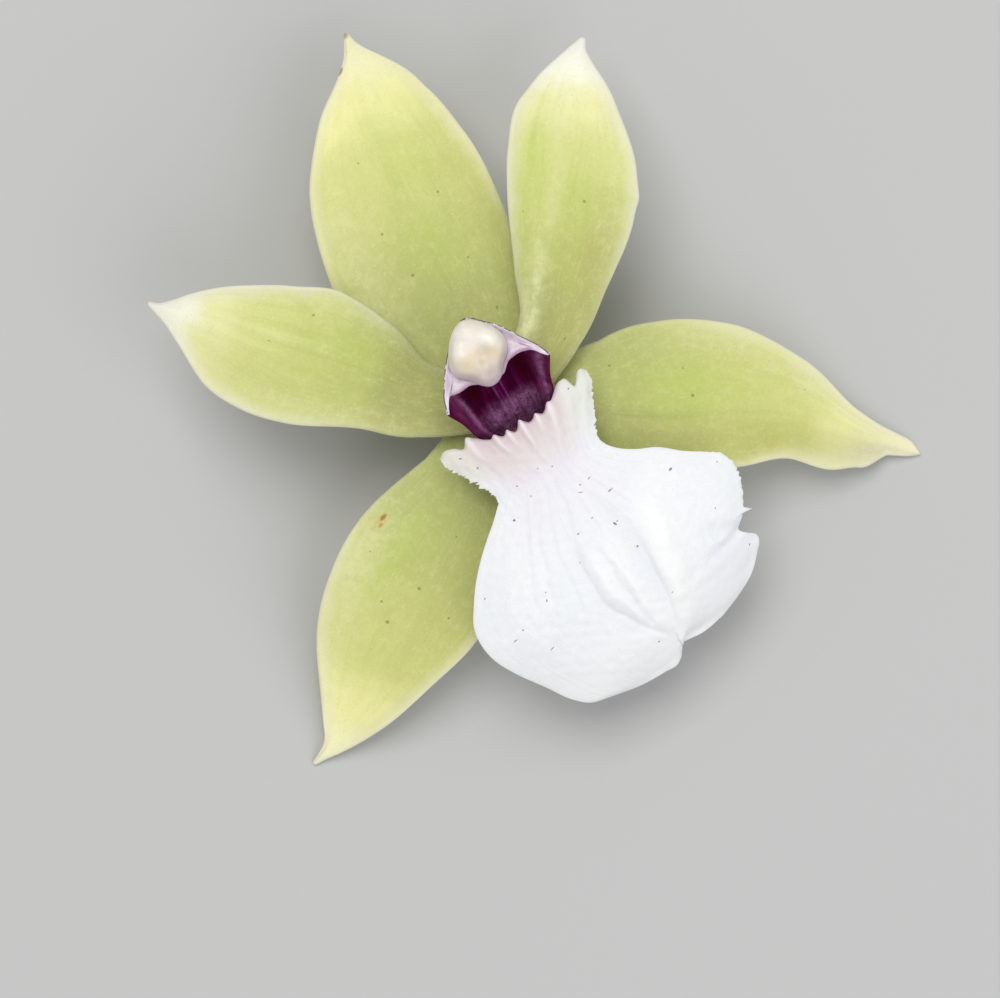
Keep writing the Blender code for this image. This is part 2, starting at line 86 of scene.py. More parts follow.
# midrib: x, y, z at each station. left, right: half widths on the two sides of the midrib, seen
# looking down from root to tip. cup: how far the margins stand above the midrib.
# waves: side (1 left, -1 right), place along, length share, outward and upward size.
# furrows: place across, start and end along, width and depth.
# patches: kind, place along and across, spread along and across, strength. The dark olive and the
# greyish kinds are painted shade, where a blade turns from the light and near the lip and the
# column; the pale kind is partly the blade's own paler tone and partly painted light on the sides
# that face the lamp.
# specks: place along and across of each speck of dust.
TEPALS = {
    "dorsal_sepal": {
        "midrib": (
            (0.0, 3.0, -0.6), (0.3, 7.0, -0.5), (0.5, 13.2, -0.1), (0.7, 20.1, 0.5),
            (1.2, 25.1, 0.4), (2.2, 30.3, -0.7), (3.5, 34.3, -2.3), (4.7, 36.9, -3.8),
        ),
        "left": (2.4, 6.2, 8.9, 8.3, 6.7, 3.4, 1.3, 0.4, 0.22, 0.2),
        "right": (2.4, 5.3, 7.7, 8.5, 8.0, 6.4, 4.8, 2.95, 1.05, 0.2),
        "cup": (0.0, 0.0, -0.1, 0.2, 0.5, 0.5, 0.2, 0.0),
        "waves": ((1, 0.8, 0.05, 0.1, 0.1), (-1, 0.55, 0.12, 0.1, 0.15)),
        "furrows": ((0.0, 0.05, 0.95, 0.45, 0.1), (-0.35, 0.1, 0.7, 1.2, 0.06)),
        "patches": (
            ("green", 0.62, -0.3, 0.14, 0.35, 0.6), ("green", 0.4, -0.15, 0.12, 0.3, 0.6),
            ("pale", 0.35, 0.75, 0.25, 0.3, 0.6), ("pale", 0.5, 0.8, 0.2, 0.35, 0.5),
            ("dusk", 0.16, -0.5, 0.1, 0.5, 0.4), ("dusk", 0.5, -0.75, 0.25, 0.25, 0.35),
        ),
        "specks": (
            (0.66, 0.27), (0.47, 0.3), (0.16, -0.54), (0.31, -0.41), (0.5, -0.44), (0.34, 0.22),
        ),
    },
    "lateral_sepal_left": {
        "midrib": (
            (-2.55, -1.6, -0.6), (-6.2, -4.2, -0.9), (-11.3, -7.7, -2.2), (-17.2, -11.1, -4.2),
            (-21.6, -13.6, -6.2), (-26.2, -16.2, -8.4), (-30.0, -18.0, -10.1),
            (-32.6, -19.0, -10.73),
        ),
        "left": (2.3, 3.6, 6.1, 6.7, 5.3, 3.5, 2.25, 1.35, 0.6, 0.2),
        "right": (2.3, 4.9, 7.6, 8.0, 6.9, 4.0, 1.9, 0.55, 0.22, 0.2),
        "cup": (0.0, 0.0, 0.3, 0.9, 1.2, 1.0, 0.3, 0.0),
        "waves": ((1, 0.7, 0.08, 0.0, 0.2), (-1, 0.45, 0.1, 0.05, 0.15), (-1, 0.9, 0.06, 0.0, 0.5)),
        "furrows": (
            (-0.25, 0.1, 0.95, 0.6, 0.14), (0.15, 0.2, 0.8, 0.7, 0.1), (0.55, 0.3, 0.8, 0.8, 0.08),
        ),
        "patches": (
            ("green", 0.42, -0.45, 0.14, 0.22, 0.8), ("green", 0.3, -0.45, 0.1, 0.25, 0.6),
            ("pale", 0.45, -0.85, 0.2, 0.3, 0.8), ("pale", 0.62, -0.8, 0.2, 0.4, 0.6),
            ("dusk", 0.38, 0.85, 0.2, 0.4, 0.7), ("dusk", 0.5, 0.35, 0.2, 0.2, 0.3),
        ),
        "specks": (
            (0.42, -0.71), (0.52, -0.34), (0.56, -0.15), (0.27, 0.09), (0.47, 0.52), (0.44, -0.02),
        ),
    },
    "lateral_sepal_right": {
        "midrib": (
            (2.55, -1.6, -0.6), (6.4, -4.3, -0.9), (11.6, -7.6, -2.2), (17.8, -10.9, -4.2),
            (22.1, -14.0, -6.2), (25.8, -17.9, -8.4), (28.6, -21.2, -10.1), (30.5, -23.3, -10.73),
        ),
        "left": (2.3, 6.3, 8.3, 7.5, 5.0, 2.05, 1.35, 1.15, 0.85, 0.1),
        "right": (2.3, 3.1, 5.8, 5.4, 4.3, 3.7, 2.3, 0.95, 0.55, 0.1),
        "cup": (0.0, 0.0, 0.3, 0.8, 1.0, 0.8, 0.3, 0.0),
        "waves": (
            (-1, 0.62, 0.06, -0.15, 0.2), (-1, 0.78, 0.07, 0.2, 0.1), (-1, 0.91, 0.014, -0.4, 0.1),
            (-1, 0.87, 0.02, 0.25, 0.1),
        ),
        "furrows": (
            (-0.12, 0.1, 0.95, 0.7, 0.3), (0.35, 0.1, 0.8, 0.9, 0.06), (0.6, 0.3, 0.8, 0.5, 0.05),
        ),
        "patches": (
            ("green", 0.38, 0.22, 0.16, 0.3, 0.9), ("green", 0.55, 0.3, 0.12, 0.25, 0.4),
            ("dusk", 0.55, -0.6, 0.3, 0.45, 0.9), ("dusk", 0.25, -0.4, 0.12, 0.25, 0.5),
            ("pale", 0.72, 0.8, 0.15, 0.4, 1.0), ("pale", 0.5, 0.9, 0.2, 0.25, 0.6),
            ("grey", 0.91, -0.7, 0.13, 0.75, 1.2), ("pale", 0.85, 0.7, 0.1, 0.4, 0.8),
        ),
        "specks": ((0.36, 0.47), (0.15, 0.59), (0.38, 0.16), (0.66, 0.5)),
    },
    "petal_left": {
        "midrib": (
            (-2.2, 2.05, 1.2), (-5.6, 4.9, 1.5), (-9.1, 8.8, 2.0), (-13.0, 13.4, 2.3),
            (-16.0, 16.9, 2.2), (-18.9, 20.4, 1.6), (-21.5, 23.1, 0.6), (-23.3, 24.8, -0.4),
        ),
        "left": (2.3, 4.3, 5.2, 6.8, 6.8, 5.2, 3.1, 1.75, 0.85, 0.2),
        "right": (1.8, 2.3, 4.8, 5.9, 4.8, 3.0, 1.7, 0.75, 0.2, 0.2),
        "cup": (0.0, 0.1, 0.4, 0.6, 0.7, 0.5, 0.2, 0.0),
        "waves": (
            (-1, 0.58, 0.05, -0.15, 0.25), (-1, 0.48, 0.04, 0.1, 0.0), (1, 0.5, 0.12, 0.0, 0.15),
        ),
        "furrows": (
            (0.04, 0.15, 0.9, 0.45, 0.16), (0.3, 0.4, 0.85, 0.5, 0.1),
            (-0.2, 0.45, 0.85, 0.4, 0.06),
        ),
        "patches": (
            ("green", 0.4, -0.1, 0.12, 0.5, 0.5), ("green", 0.6, 0.5, 0.12, 0.3, 0.3),
            ("dusk", 0.16, 0.0, 0.09, 0.6, 0.8), ("dusk", 0.45, 0.1, 0.25, 0.1, 0.4),
            ("pale", 0.5, -0.85, 0.3, 0.25, 0.5), ("pale", 0.4, 0.85, 0.25, 0.25, 0.5),
            ("pale", 0.62, -0.08, 0.2, 0.06, 0.4), ("dusk", 0.62, 0.6, 0.3, 0.5, 0.6),
            ("dusk", 0.22, 0.85, 0.14, 0.3, 1.0), ("dusk", 0.42, 0.95, 0.16, 0.25, 0.6),
        ),
        "specks": ((0.26, -0.72), (0.62, 0.02), (0.52, -0.56)),
    },
    "petal_right": {
        "midrib": (
            (2.2, 2.05, 1.2), (5.7, 4.6, 1.5), (9.3, 8.5, 2.0), (13.3, 13.0, 2.3),
            (16.2, 16.5, 2.2), (19.0, 20.1, 1.6), (21.2, 23.2, 0.6), (22.9, 25.1, -0.4),
        ),
        "left": (1.8, 1.8, 3.3, 5.0, 5.6, 5.1, 3.5, 2.0, 1.0, 0.3),
        "right": (2.3, 4.1, 5.5, 6.6, 6.0, 3.8, 2.4, 1.3, 0.4, 0.2),
        "cup": (0.0, 0.1, 0.4, 0.6, 0.7, 0.5, 0.2, 0.0),
        "waves": ((-1, 0.555, 0.03, 0.2, 0.1), (1, 0.75, 0.08, 0.0, 0.15)),
        "furrows": ((-0.1, 0.02, 0.9, 0.5, 0.16), (0.4, 0.1, 0.6, 0.8, 0.06)),
        "patches": (
            ("green", 0.62, 0.5, 0.14, 0.25, 0.8), ("green", 0.48, -0.3, 0.14, 0.3, 0.7),
            ("green", 0.32, -0.45, 0.12, 0.3, 0.9), ("pale", 0.15, 0.55, 0.1, 0.45, 1.3),
            ("pale", 0.28, 0.35, 0.12, 0.25, 0.9), ("pale", 0.5, 0.17, 0.16, 0.14, 0.5),
            ("pale", 0.75, 0.25, 0.12, 0.15, 0.5), ("pale", 0.6, -0.9, 0.3, 0.25, 0.5),
            ("dusk", 0.17, -0.65, 0.16, 0.45, 1.3), ("dusk", 0.34, -0.7, 0.18, 0.5, 1.2),
        ),
        "specks": ((0.46, 0.72), (0.12, -0.64), (0.52, -0.29)),
    },
}
TIP_START = 0.994  # share of a tepal's length at which its tip begins to round off
TIP_LENGTH = 0.0062  # share over which it does so
LEAST_HALF_WIDTH = 0.12  # before the tip rounds off, millimetres
TEPAL_SWELL = 0.08  # how far its surface swells and ripples, millimetres
TEPAL_RIPPLE = 0.025
MARGIN_SHARE = 0.45  # thickness at the margins as a share of that along the midrib
EDGE_ROUND = 0.35  # radius of the rounded margins, millimetres

# Thickness in millimetres, colour of the margins, and colours from root to tip
TEPAL_KINDS = {
    "sepal": (1.1, (236, 233, 198), (
        (0.0, (164, 168, 102)), (0.2, (182, 187, 114)), (0.35, (194, 199, 121)),
        (0.5, (206, 209, 129)), (0.65, (214, 215, 134)), (0.8, (242, 239, 168)),
        (0.92, (251, 247, 196)), (1.0, (248, 245, 208)),
    )),
    "petal": (1.0, (232, 230, 214), (
        (0.0, (150, 152, 92)), (0.2, (168, 172, 103)), (0.35, (189, 195, 112)),
        (0.5, (203, 208, 124)), (0.65, (215, 219, 140)), (0.8, (237, 236, 174)),
        (0.91, (254, 254, 236)), (1.0, (253, 252, 246)),
    )),
}
# Browned places: place along and across, spread along and across, colour and strength
BLEMISHES = {
    "lateral_sepal_left": (
        ((0.325, -0.79), (0.03, 0.075), (214, 190, 120), 0.6),
        ((0.315, -0.8), (0.014, 0.03), (156, 112, 50), 0.8),
        ((0.34, -0.77), (0.010, 0.025), (176, 134, 66), 0.6),
    ),
    "dorsal_sepal": (
        ((1.0, 0.3), (0.02, 1.0), (150, 112, 90), 0.65),
        ((0.9, 1.0), (0.011, 0.22), (156, 118, 70), 0.75),
    ),
}

# The lip's upper face, from the toothed edge of the callus to the tip: place along, x, y, z on
# its left margin, on its middle and on its right margin
LIP_LEFT = (
    (0.0, -7.9, -1.0, 4.4), (0.04, -7.8, -1.9, 4.3), (0.1, -6.9, -3.4, 4.1),
    (0.16, -6.1, -4.9, 3.8), (0.22, -5.35, -6.7, 3.4), (0.28, -6.4, -8.0, 3.2),
    (0.33, -7.95, -9.3, 2.95), (0.38, -9.4, -10.6, 2.7), (0.44, -10.9, -12.2, 2.3),
    (0.51, -12.2, -14.0, 1.8), (0.57, -13.05, -15.4, 1.4), (0.63, -13.35, -16.9, 1.0),
    (0.68, -13.25, -18.3, 0.6), (0.73, -12.8, -19.7, 0.2), (0.78, -11.85, -21.4, -0.4),
    (0.85, -10.35, -23.6, -1.3), (0.92, -8.75, -25.95, -2.3), (0.96, -7.5, -27.0, -2.8),
    (1.0, -5.6, -27.5, -3.2),
)
LIP_MIDDLE = (
    (0.0, -0.2, -2.0, 5.6), (0.1, -0.1, -4.4, 5.0), (0.22, 0.0, -7.2, 4.2), (0.38, 0.2, -11.4, 3.7),
    (0.55, 0.5, -16.2, 3.1), (0.7, 0.7, -20.4, 1.9), (0.83, 0.9, -24.2, 0.0),
    (0.93, 0.9, -26.8, -1.9), (1.0, 0.8, -28.0, -3.1),
)
LIP_RIGHT = (
    (0.0, 7.5, -1.0, 4.4), (0.04, 7.35, -2.1, 4.3), (0.07, 6.85, -3.0, 4.1), (0.11, 6.2, -4.5, 3.9),
    (0.16, 5.5, -5.9, 3.7), (0.22, 5.4, -7.1, 3.4), (0.27, 6.3, -8.3, 3.2), (0.31, 7.6, -9.2, 3.0),
    (0.36, 9.3, -10.0, 2.8), (0.43, 11.3, -11.6, 2.4), (0.5, 13.0, -12.7, 1.9),
    (0.54, 14.1, -13.5, 1.6), (0.58, 14.65, -14.8, 1.3), (0.64, 14.4, -16.6, 0.9),
    (0.69, 13.7, -18.2, 0.5), (0.73, 12.8, -19.5, 0.2), (0.76, 12.0, -20.35, -0.1),
    (0.78, 12.5, -20.9, -0.3), (0.81, 13.2, -21.5, -0.8), (0.835, 13.2, -22.1, -1.1),
    (0.87, 12.4, -23.1, -1.6), (0.91, 11.1, -24.4, -2.1), (0.955, 9.1, -25.5, -2.5),
    (1.0, 6.8, -26.4, -2.8),
)
# The callus's toothed edge between the two side lobes, and the lip's lower edge with its tucked
# fold: x and y
TOOTHED_EDGE = (
    (-7.9, -1.0), (-7.4, -0.65), (-6.4, -0.8), (-5.5, -1.25), (-4.95, -0.55), (-4.3, -0.95),
    (-3.4, -1.65), (-3.05, -1.8), (-2.62, -1.6), (-2.25, -1.95), (-1.93, -2.15), (-1.65, -2.0),
    (-1.44, -1.8), (-1.15, -2.1), (-0.85, -2.35), (-0.45, -2.1), (-0.02, -1.6), (0.3, -1.95),
    (0.66, -2.25), (1.1, -2.15), (1.53, -1.85), (1.8, -2.05), (2.07, -2.2), (2.5, -1.95),
    (2.91, -1.55), (3.3, -1.6), (3.8, -1.2), (4.4, -0.7), (5.0, -0.5), (5.5, -0.75), (5.75, -1.5),
    (6.1, -1.3), (6.5, -0.75), (7.0, -0.5), (7.5, -0.9),
)
LOWER_EDGE = (
    (-5.6, -27.5), (-3.0, -28.0), (-0.4, -28.1), (1.3, -27.95), (1.9, -27.4), (2.3, -26.6),
    (2.8, -26.6), (4.4, -26.75), (6.8, -26.4),
)
LIP_LENGTH = 27.0  # roughly, millimetres
LIP_THICKNESS = 0.9
CALLUS_THICKNESS = 2.4

# The stalk's middle line from the receptacle down to the cut end, with the radius at each point
STALK = (
    ((0.0, 0.0, RECEPTACLE_TOP), RECEPTACLE_RADIUS),
    ((0.0, 0.0, -1.5), 2.6),
    ((0.0, 0.6, -4.6), 2.7),
    ((0.1, 3.4, -7.3), 2.6),
    ((0.3, 8.2, -8.7), 2.2),
    ((0.7, 15.0, -9.2), 1.75),
    ((1.0, 23.0, -9.35), 1.6),
    ((0.8, 30.5, -9.2), 1.75),
)
# Rings that close the cut end: share of its radius, and how far each is sunk
CUT_END_RINGS = ((0.8, 0.0), (0.55, 0.08), (0.3, 0.12), (0.1, 0.12))
RIB_COUNT = 6
GROOVE_DEPTH = 0.16  # of the grooves between the ribs, as a share of the radius

# The column's cross-sections, from its foot to its hood: height share, half width, y of the wings'
# front edges, depth of the hollow between the wings, y of the back, and roundness of the back
COLUMN_SECTIONS = (
    (0.0, 2.9, -2.4, 0.2, 3.0, 2.0),
    (0.06, 3.1, -2.1, 0.25, 3.3, 2.0),
    (0.15, 3.6, -1.6, 0.4, 3.7, 2.0),
    (0.3, 4.1, -0.8, 0.9, 4.5, 1.9),
    (0.45, 4.3, -0.1, 1.4, 5.3, 1.8),
    (0.6, 4.5, 0.5, 1.9, 6.2, 1.7),
    (0.75, 4.8, 1.05, 2.3, 7.1, 1.6),
    (0.9, 5.15, 1.65, 2.05, 8.0, 1.6),
    (1.0, HOOD_HALF_WIDTH, 1.95, 1.5, 8.45, 1.6),
)
# The hood's back from its right wing tip to its left one, as shares of its half width and depth
HOOD_BACK = (
    (-1.0, 0.0), (-0.92, 0.19), (-0.78, 0.37), (-0.65, 0.53), (-0.54, 0.64), (-0.385, 0.78),
    (-0.125, 0.95), (0.05, 1.0), (0.15, 0.975), (0.28, 0.87), (0.52, 0.665), (0.72, 0.41),
    (0.82, 0.29), (0.92, 0.155), (1.0, 0.0),
)
# The hood's front rim from its left wing tip to its right one, as shares of its half width and of
# the hollow's depth
HOOD_FRONT = (
    (-1.0, 0.0), (-0.95, 0.35), (-0.885, 0.7), (-0.84, 0.87), (-0.745, 0.81), (-0.65, 0.77),
    (-0.54, 0.8), (-0.45, 0.82), (-0.35, 0.7), (-0.25, 0.5), (0.0, 0.4), (0.22, 0.5), (0.29, 0.74),
    (0.36, 0.9), (0.46, 0.97), (0.59, 0.99), (0.695, 0.91), (0.78, 0.8), (0.85, 0.6), (0.915, 0.3),
    (1.0, 0.0),
)
# How far the hood's surface lies below its rim plane at each distance from the rim
HOOD_DISH = (
    (0.0, 0.0), (0.12, -0.06), (0.3, 0.0), (0.7, 0.32), (1.3, 0.66), (2.2, 0.85), (6.0, 0.85),
)
# Pale streaks up the column's face: place as a share of its half width, width and strength. The
# outer two are painted highlights along the folds of the wings.
COLUMN_STREAKS = ((-0.78, 0.04, 1.0), (0.87, 0.04, 1.0), (-0.12, 0.015, 0.7), (0.06, 0.015, 0.6))


# ---------------------------------------------------------------- shared shape helpers


def find_origin():
    """The flower frame's origin in the part's frame, in metres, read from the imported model."""
    cap_low, cap_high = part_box("anther_cap")
    stalk_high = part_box("ovary_pedicel")[1]
    x = (cap_low.x + cap_high.x) / 2.0
    y = cap_low.y - (HOOD_MIDDLE_Y - CAP_FRONT) * MM
    return np.array((x, y, stalk_high.z - RECEPTACLE_TOP * MM))


ORIGIN = find_origin()


def to_part_frame(points):
    """Millimetres in the flower's frame to metres in the part's frame."""
    return np.asarray(points, float) * MM + ORIGIN


def smooth_curve(knots, values, places):
    """Values at the places, on a smooth curve through the values at the knots."""
    knots = np.asarray(knots, float)
    values = np.asarray(values, float)
    places = np.clip(np.asarray(places, float), knots[0], knots[-1])
    slopes = np.gradient(values, knots, axis=0)
    left = np.clip(np.searchsorted(knots, places, side="right") - 1, 0, len(knots) - 2)
    step = knots[left + 1] - knots[left]
    u = (places - knots[left]) / step
    if values.ndim == 2:
        step = step[..., None]
        u = u[..., None]
    blend = u * u * (3.0 - 2.0 * u)
    start_slope = u * (1.0 - u) ** 2 * step * slopes[left]
    end_slope = u * u * (u - 1.0) * step * slopes[left + 1]
    return values[left] * (1.0 - blend) + values[left + 1] * blend + start_slope + end_slope


def table_curve(table, places):
    """Values at the places, on a smooth curve through a table whose first column is the place."""
    table = np.array(table)
    values = table[:, 1] if table.shape[1] == 2 else table[:, 1:]
    return smooth_curve(table[:, 0], values, places)


def path_steps(knots, path, places):
    """A short step along the smooth curve through the path's points, at each place."""
    ahead = smooth_curve(knots, path, np.minimum(places + 0.01, 1.0))
    behind = smooth_curve(knots, path, np.maximum(places - 0.01, 0.0))
    return ahead - behind


def unit(vectors):
    """The vectors at length 1."""
    return vectors / np.maximum(np.linalg.norm(vectors, axis=-1, keepdims=True), 1e-9)


def smoothstep(low, high, value):
    """0 below low, 1 above high, smooth between."""
    u = np.clip((value - low) / (high - low), 0.0, 1.0)
    return u * u * (3.0 - 2.0 * u)


def fade_out(value, end, power=1.0):
    """1 at 0, falling to 0 at the end."""
    return np.clip(1.0 - value / end, 0.0, 1.0) ** power


def hump(value, middle, width):
    """A smooth bump of height 1."""
    return np.exp(-(((value - middle) / width) ** 2))


def rounding(depth_in, radius, least):
    """Share of the full thickness at a distance in from a rounded edge."""
    return np.sqrt(np.clip(1.0 - (1.0 - np.minimum(depth_in / radius, 1.0)) ** 2, least, 1.0))


def uneven(x, y, seed, size):
    """Smooth irregular relief between about -1 and 1, with features of about this size."""
    rng = np.random.default_rng(seed)
    total = 0.0
    for _ in range(7):
        direction = rng.uniform(0.0, math.tau)
        wave = math.tau / (size * rng.uniform(0.7, 1.9))
        phase = rng.uniform(0.0, math.tau)
        total = total + np.sin(wave * (math.cos(direction) * x + math.sin(direction) * y) + phase)
    return total / 3.5


def surface_normals(points):
    """Unit normals of a grid of points, on the side where they point up on average."""
    normals = unit(np.cross(np.gradient(points, axis=0), np.gradient(points, axis=1)))
    return normals * np.sign(normals[..., 2].mean())


# ---------------------------------------------------------------- meshes


def add_object(name, data):
    """A new object in the scene."""
    made = bpy.data.objects.new(name, data)
    bpy.context.scene.collection.objects.link(made)
    return made


def add_piece(name, points, faces, masks, material, node):
    """A closed smooth mesh that stands for the CAD node.

    masks holds, by name, one number for each vertex, which the material reads.
    """
    mesh = bpy.data.meshes.new(name)
    mesh.from_pydata(to_part_frame(points).tolist(), [], faces)
    mesh.update()
    bm = bmesh.new()
    bm.from_mesh(mesh)
    bmesh.ops.recalc_face_normals(bm, faces=bm.faces)
    bm.to_mesh(mesh)
    bm.free()
    mesh.shade_smooth()
    for key, values in masks.items():
        layer = mesh.attributes.new(key, "FLOAT", "POINT")
        layer.data.foreach_set("value", np.asarray(values, np.float32).ravel())
    mesh.materials.append(material)
    piece = add_object(name, mesh)
    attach(piece, "root")
    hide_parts(node)
    return piece


def grid_faces(index, closed=False):
    """Quads between neighbours in a grid; a closed grid's last column meets its first."""
    if closed:
        index = np.concatenate((index, index[:, :1]), axis=1)
    corners = (index[:-1, :-1], index[:-1, 1:], index[1:, 1:], index[1:, :-1])
    return np.stack([corner.ravel() for corner in corners], axis=1).tolist()


def fan_faces(ring, middle):
    """Triangles from a closed ring of points to one point in its middle."""
    return [(int(start), int(stop), middle) for start, stop in zip(ring, np.roll(ring, -1))]


def add_sheet(name, upper, lower, masks, material, node):
    """A closed sheet: its upper grid, its lower grid and the rim that joins them."""
    shape = upper.shape[:2]
    index = np.arange(shape[0] * shape[1]).reshape(shape)
    ring = np.concatenate((index[0], index[1:, -1], index[-1, -2::-1], index[-2:0:-1, 0]))
    below = ring + index.size
    rim = np.stack((ring, np.roll(ring, -1), np.roll(below, -1), below), axis=1).tolist()
    faces = grid_faces(index) + grid_faces(index[:, ::-1] + index.size) + rim
    points = np.concatenate((upper.reshape(-1, 3), lower.reshape(-1, 3)))
    masks = {key: np.stack((np.broadcast_to(mask, shape),) * 2) for key, mask in masks.items()}
    masks["upper"] = np.stack((np.ones(shape), np.zeros(shape)))
    return add_piece(name, points, faces, masks, material, node)


def with_middles(rings):
    """The rings' values in one row, then the mean of the first ring and of the last."""
    return np.concatenate((rings.reshape(-1, *rings.shape[2:]), rings[[0, -1]].mean(axis=1)))


def add_tube(name, rings, masks, material, node):
    """Rings of points, each closed on itself, with a fan of faces over the first and the last."""
    index = np.arange(rings.shape[0] * rings.shape[1]).reshape(rings.shape[:2])
    faces = grid_faces(index, closed=True)
    faces += fan_faces(index[0], index.size) + fan_faces(index[-1], index.size + 1)
    masks = {key: with_middles(mask) for key, mask in masks.items()}
    return add_piece(name, with_middles(rings), faces, masks, material, node)


# ---------------------------------------------------------------- materials


def srgb(red, green, blue):
    """A colour given as 0 to 255 display values, as the linear colour that nodes take."""
    linear = []
    for value in (red, green, blue):
        share = value / 255.0
        linear.append(share / 12.92 if share <= 0.04045 else ((share + 0.055) / 1.055) ** 2.4)
    return (*linear, 1.0)


class Graph:
    """A material's node tree, with short ways to add the nodes used here.

    A value is a number, a node's output or the name of one of the mesh's attributes. A tone is a
    colour of three numbers from 0 to 255, or a node's output.
    """

    def __init__(self, name, **sockets):
        self.material = bpy.data.materials.new(name)
        self.material.use_nodes = True
        self.tree = self.material.node_tree
        self.shader = self.tree.nodes["Principled BSDF"]
        self.attributes = {}
        self.place = self.node("ShaderNodeTexCoord").outputs["Object"]
        for key, value in sockets.items():
            self.shader.inputs[key.replace("_", " ")].default_value = value

    def node(self, kind, *values, **settings):
        """A new node with these settings, and these values in its first sockets."""
        made = self.tree.nodes.new(kind)
        for key, value in settings.items():
            setattr(made, key, value)
        for socket, value in zip(made.inputs, values):
            self.set(socket, value)
        return made

    def set(self, socket, value):
        """Puts a value on a socket."""
        if isinstance(value, str):
            value = self.attribute(value)
        if isinstance(value, bpy.types.NodeSocket):
            self.tree.links.new(value, socket)
        else:
            socket.default_value = value

    def attribute(self, name):
        """The mesh's attribute of this name."""
        if name not in self.attributes:
            node = self.node("ShaderNodeAttribute", attribute_name=name)
            self.attributes[name] = node.outputs["Fac"]
        return self.attributes[name]

    def math(self, operation, *values):
        """One step of arithmetic on the values."""
        return self.node("ShaderNodeMath", *values, operation=operation).outputs[0]

    def times(self, first, *others):
        """The product of all the values."""
        for value in others:
            first = self.math("MULTIPLY", first, value)
        return first

    def swing(self, noise, size):
        """A noise's ups and downs, about this large in all."""
        return self.times(self.math("SUBTRACT", noise, 0.5), size)

    def between(self, value, low, high, start=0.0, end=1.0):
        """start where the value is low, end where it is high, smooth between."""
        made = self.node(
            "ShaderNodeMapRange", value, low, high, start, end, interpolation_type="SMOOTHSTEP",
        )
        return made.outputs["Result"]

    def set_named(self, made, **values):
        """Puts values on a node's sockets by their names, and returns the node."""
        for key, value in values.items():
            self.set(made.inputs[key], value)
        return made

    def noise(self, scale, detail, roughness, distortion=0.0, vector=None):
        """A cloudy pattern between 0 and 1, in the piece itself unless a vector is given."""
        made = self.set_named(
            self.node("ShaderNodeTexNoise"), Vector=vector or self.place, Scale=scale,
            Detail=detail, Roughness=roughness, Distortion=distortion,
        )
        return made.outputs["Fac"]

    def streaks(self, x, x_scale, y, y_scale, z, detail, roughness, distortion):
        """Noise drawn out along a piece: the values x and y, each with its scale, and z."""
        made = self.node("ShaderNodeCombineXYZ", self.times(x, x_scale), self.times(y, y_scale), z)
        return self.noise(1.0, detail, roughness, distortion, made.outputs[0])

    def cells(self, scale, vector=None):
        """A node with a pattern of small cells."""
        return self.set_named(
            self.node("ShaderNodeTexVoronoi"), Vector=vector or self.place, Scale=scale,
        )

    def mix(self, share, first, second):
        """The first tone where the share is 0, the second where it is 1."""
        made = self.node("ShaderNodeMix", data_type="RGBA")
        self.set(made.inputs["Factor"], share)
        for socket, tone in ((made.inputs[6], first), (made.inputs[7], second)):
            self.set(socket, srgb(*tone) if isinstance(tone, tuple) else tone)
        return made.outputs[2]

    def lay(self, colour, tone, *shares):
        """The colour with a tone laid over it by the product of the shares."""
        return self.mix(self.times(*shares), colour, tone)

    def ramp(self, value, stops):
        """Tones that follow one another at their positions."""
        made = self.node("ShaderNodeValToRGB", value)
        made.color_ramp.interpolation = "EASE"
        elements = made.color_ramp.elements
        while len(elements) < len(stops):
            elements.new(0.5)
        for element, (position, tone) in zip(elements, stops):
            element.position = position
            element.color = srgb(*tone)
        return made.outputs["Color"]

    def finish(self, colour, bumps, rough, least, most):
        """The material: its colour, its bumps (height, depth in mm, strength) and its roughness."""
        self.set(self.shader.inputs["Base Color"], colour)
        self.set(self.shader.inputs["Roughness"], self.between(rough, 0.3, 0.8, least, most))
        normal = self.shader.inputs["Normal"]
        for height, depth, strength in reversed(bumps):
            made = self.node("ShaderNodeBump")
            self.set_named(made, Strength=strength, Distance=depth * MM, Height=height)
            self.set(normal, made.outputs["Normal"])
            normal = made.inputs["Normal"]
        return self.material


DOTS_OFFSET = (11.0, 7.7, 3.3)  # keeps the dots clear of the other patterns' cells


def tissue(name, share, reach, depth, gloss):
    """A new material of living tissue that lets light in.

    share of the light goes in, each colour as far as its reach times the depth in millimetres.
    """
    return Graph(
        name, Subsurface_Weight=share, Subsurface_Radius=reach, Subsurface_Scale=depth * MM,
        Specular_IOR_Level=gloss,
    )


def scattered_dots(graph, scale, size, share):
    """1 on small dots in this share of the surface's cells, 0 elsewhere."""
    shifted = graph.node("ShaderNodeMapping", graph.place, DOTS_OFFSET)
    made = graph.cells(scale, shifted.outputs[0])
    near = graph.between(made.outputs["Distance"], size * 0.5, size, 1.0, 0.0)
    return graph.times(near, graph.math("GREATER_THAN", made.outputs["Color"], 1.0 - share))


def flecks(graph, places):
    """1 on each fleck lying on the flower: x, y, half length, half width and turn."""
    found = 0.0
    for x, y, half_length, half_width, turn in places:
        local = graph.node(
            "ShaderNodeMapping", graph.place, to_part_frame((x, y, 0.0)), (0.0, 0.0, turn),
            (half_length * MM, half_width * MM, 1.0), vector_type="TEXTURE",
        )
        reach = graph.node("ShaderNodeVectorMath", local.outputs[0], operation="LENGTH")
        mark = graph.between(reach.outputs["Value"], 0.7, 1.5, 1.0, 0.0)
        found = graph.math("MAXIMUM", found, mark)
    return found


def spot(graph, place, spread, ragged):
    """1 on an uneven spot at a place along and across a tepal, 0 elsewhere."""
    reach = ragged
    for name, middle, size in zip(("along", "across"), place, spread):
        gap = graph.math("DIVIDE", graph.math("SUBTRACT", name, middle), size)
        reach = graph.math("MULTIPLY_ADD", gap, gap, reach)
    return graph.between(reach, 0.3, 1.3, 1.0, 0.0)


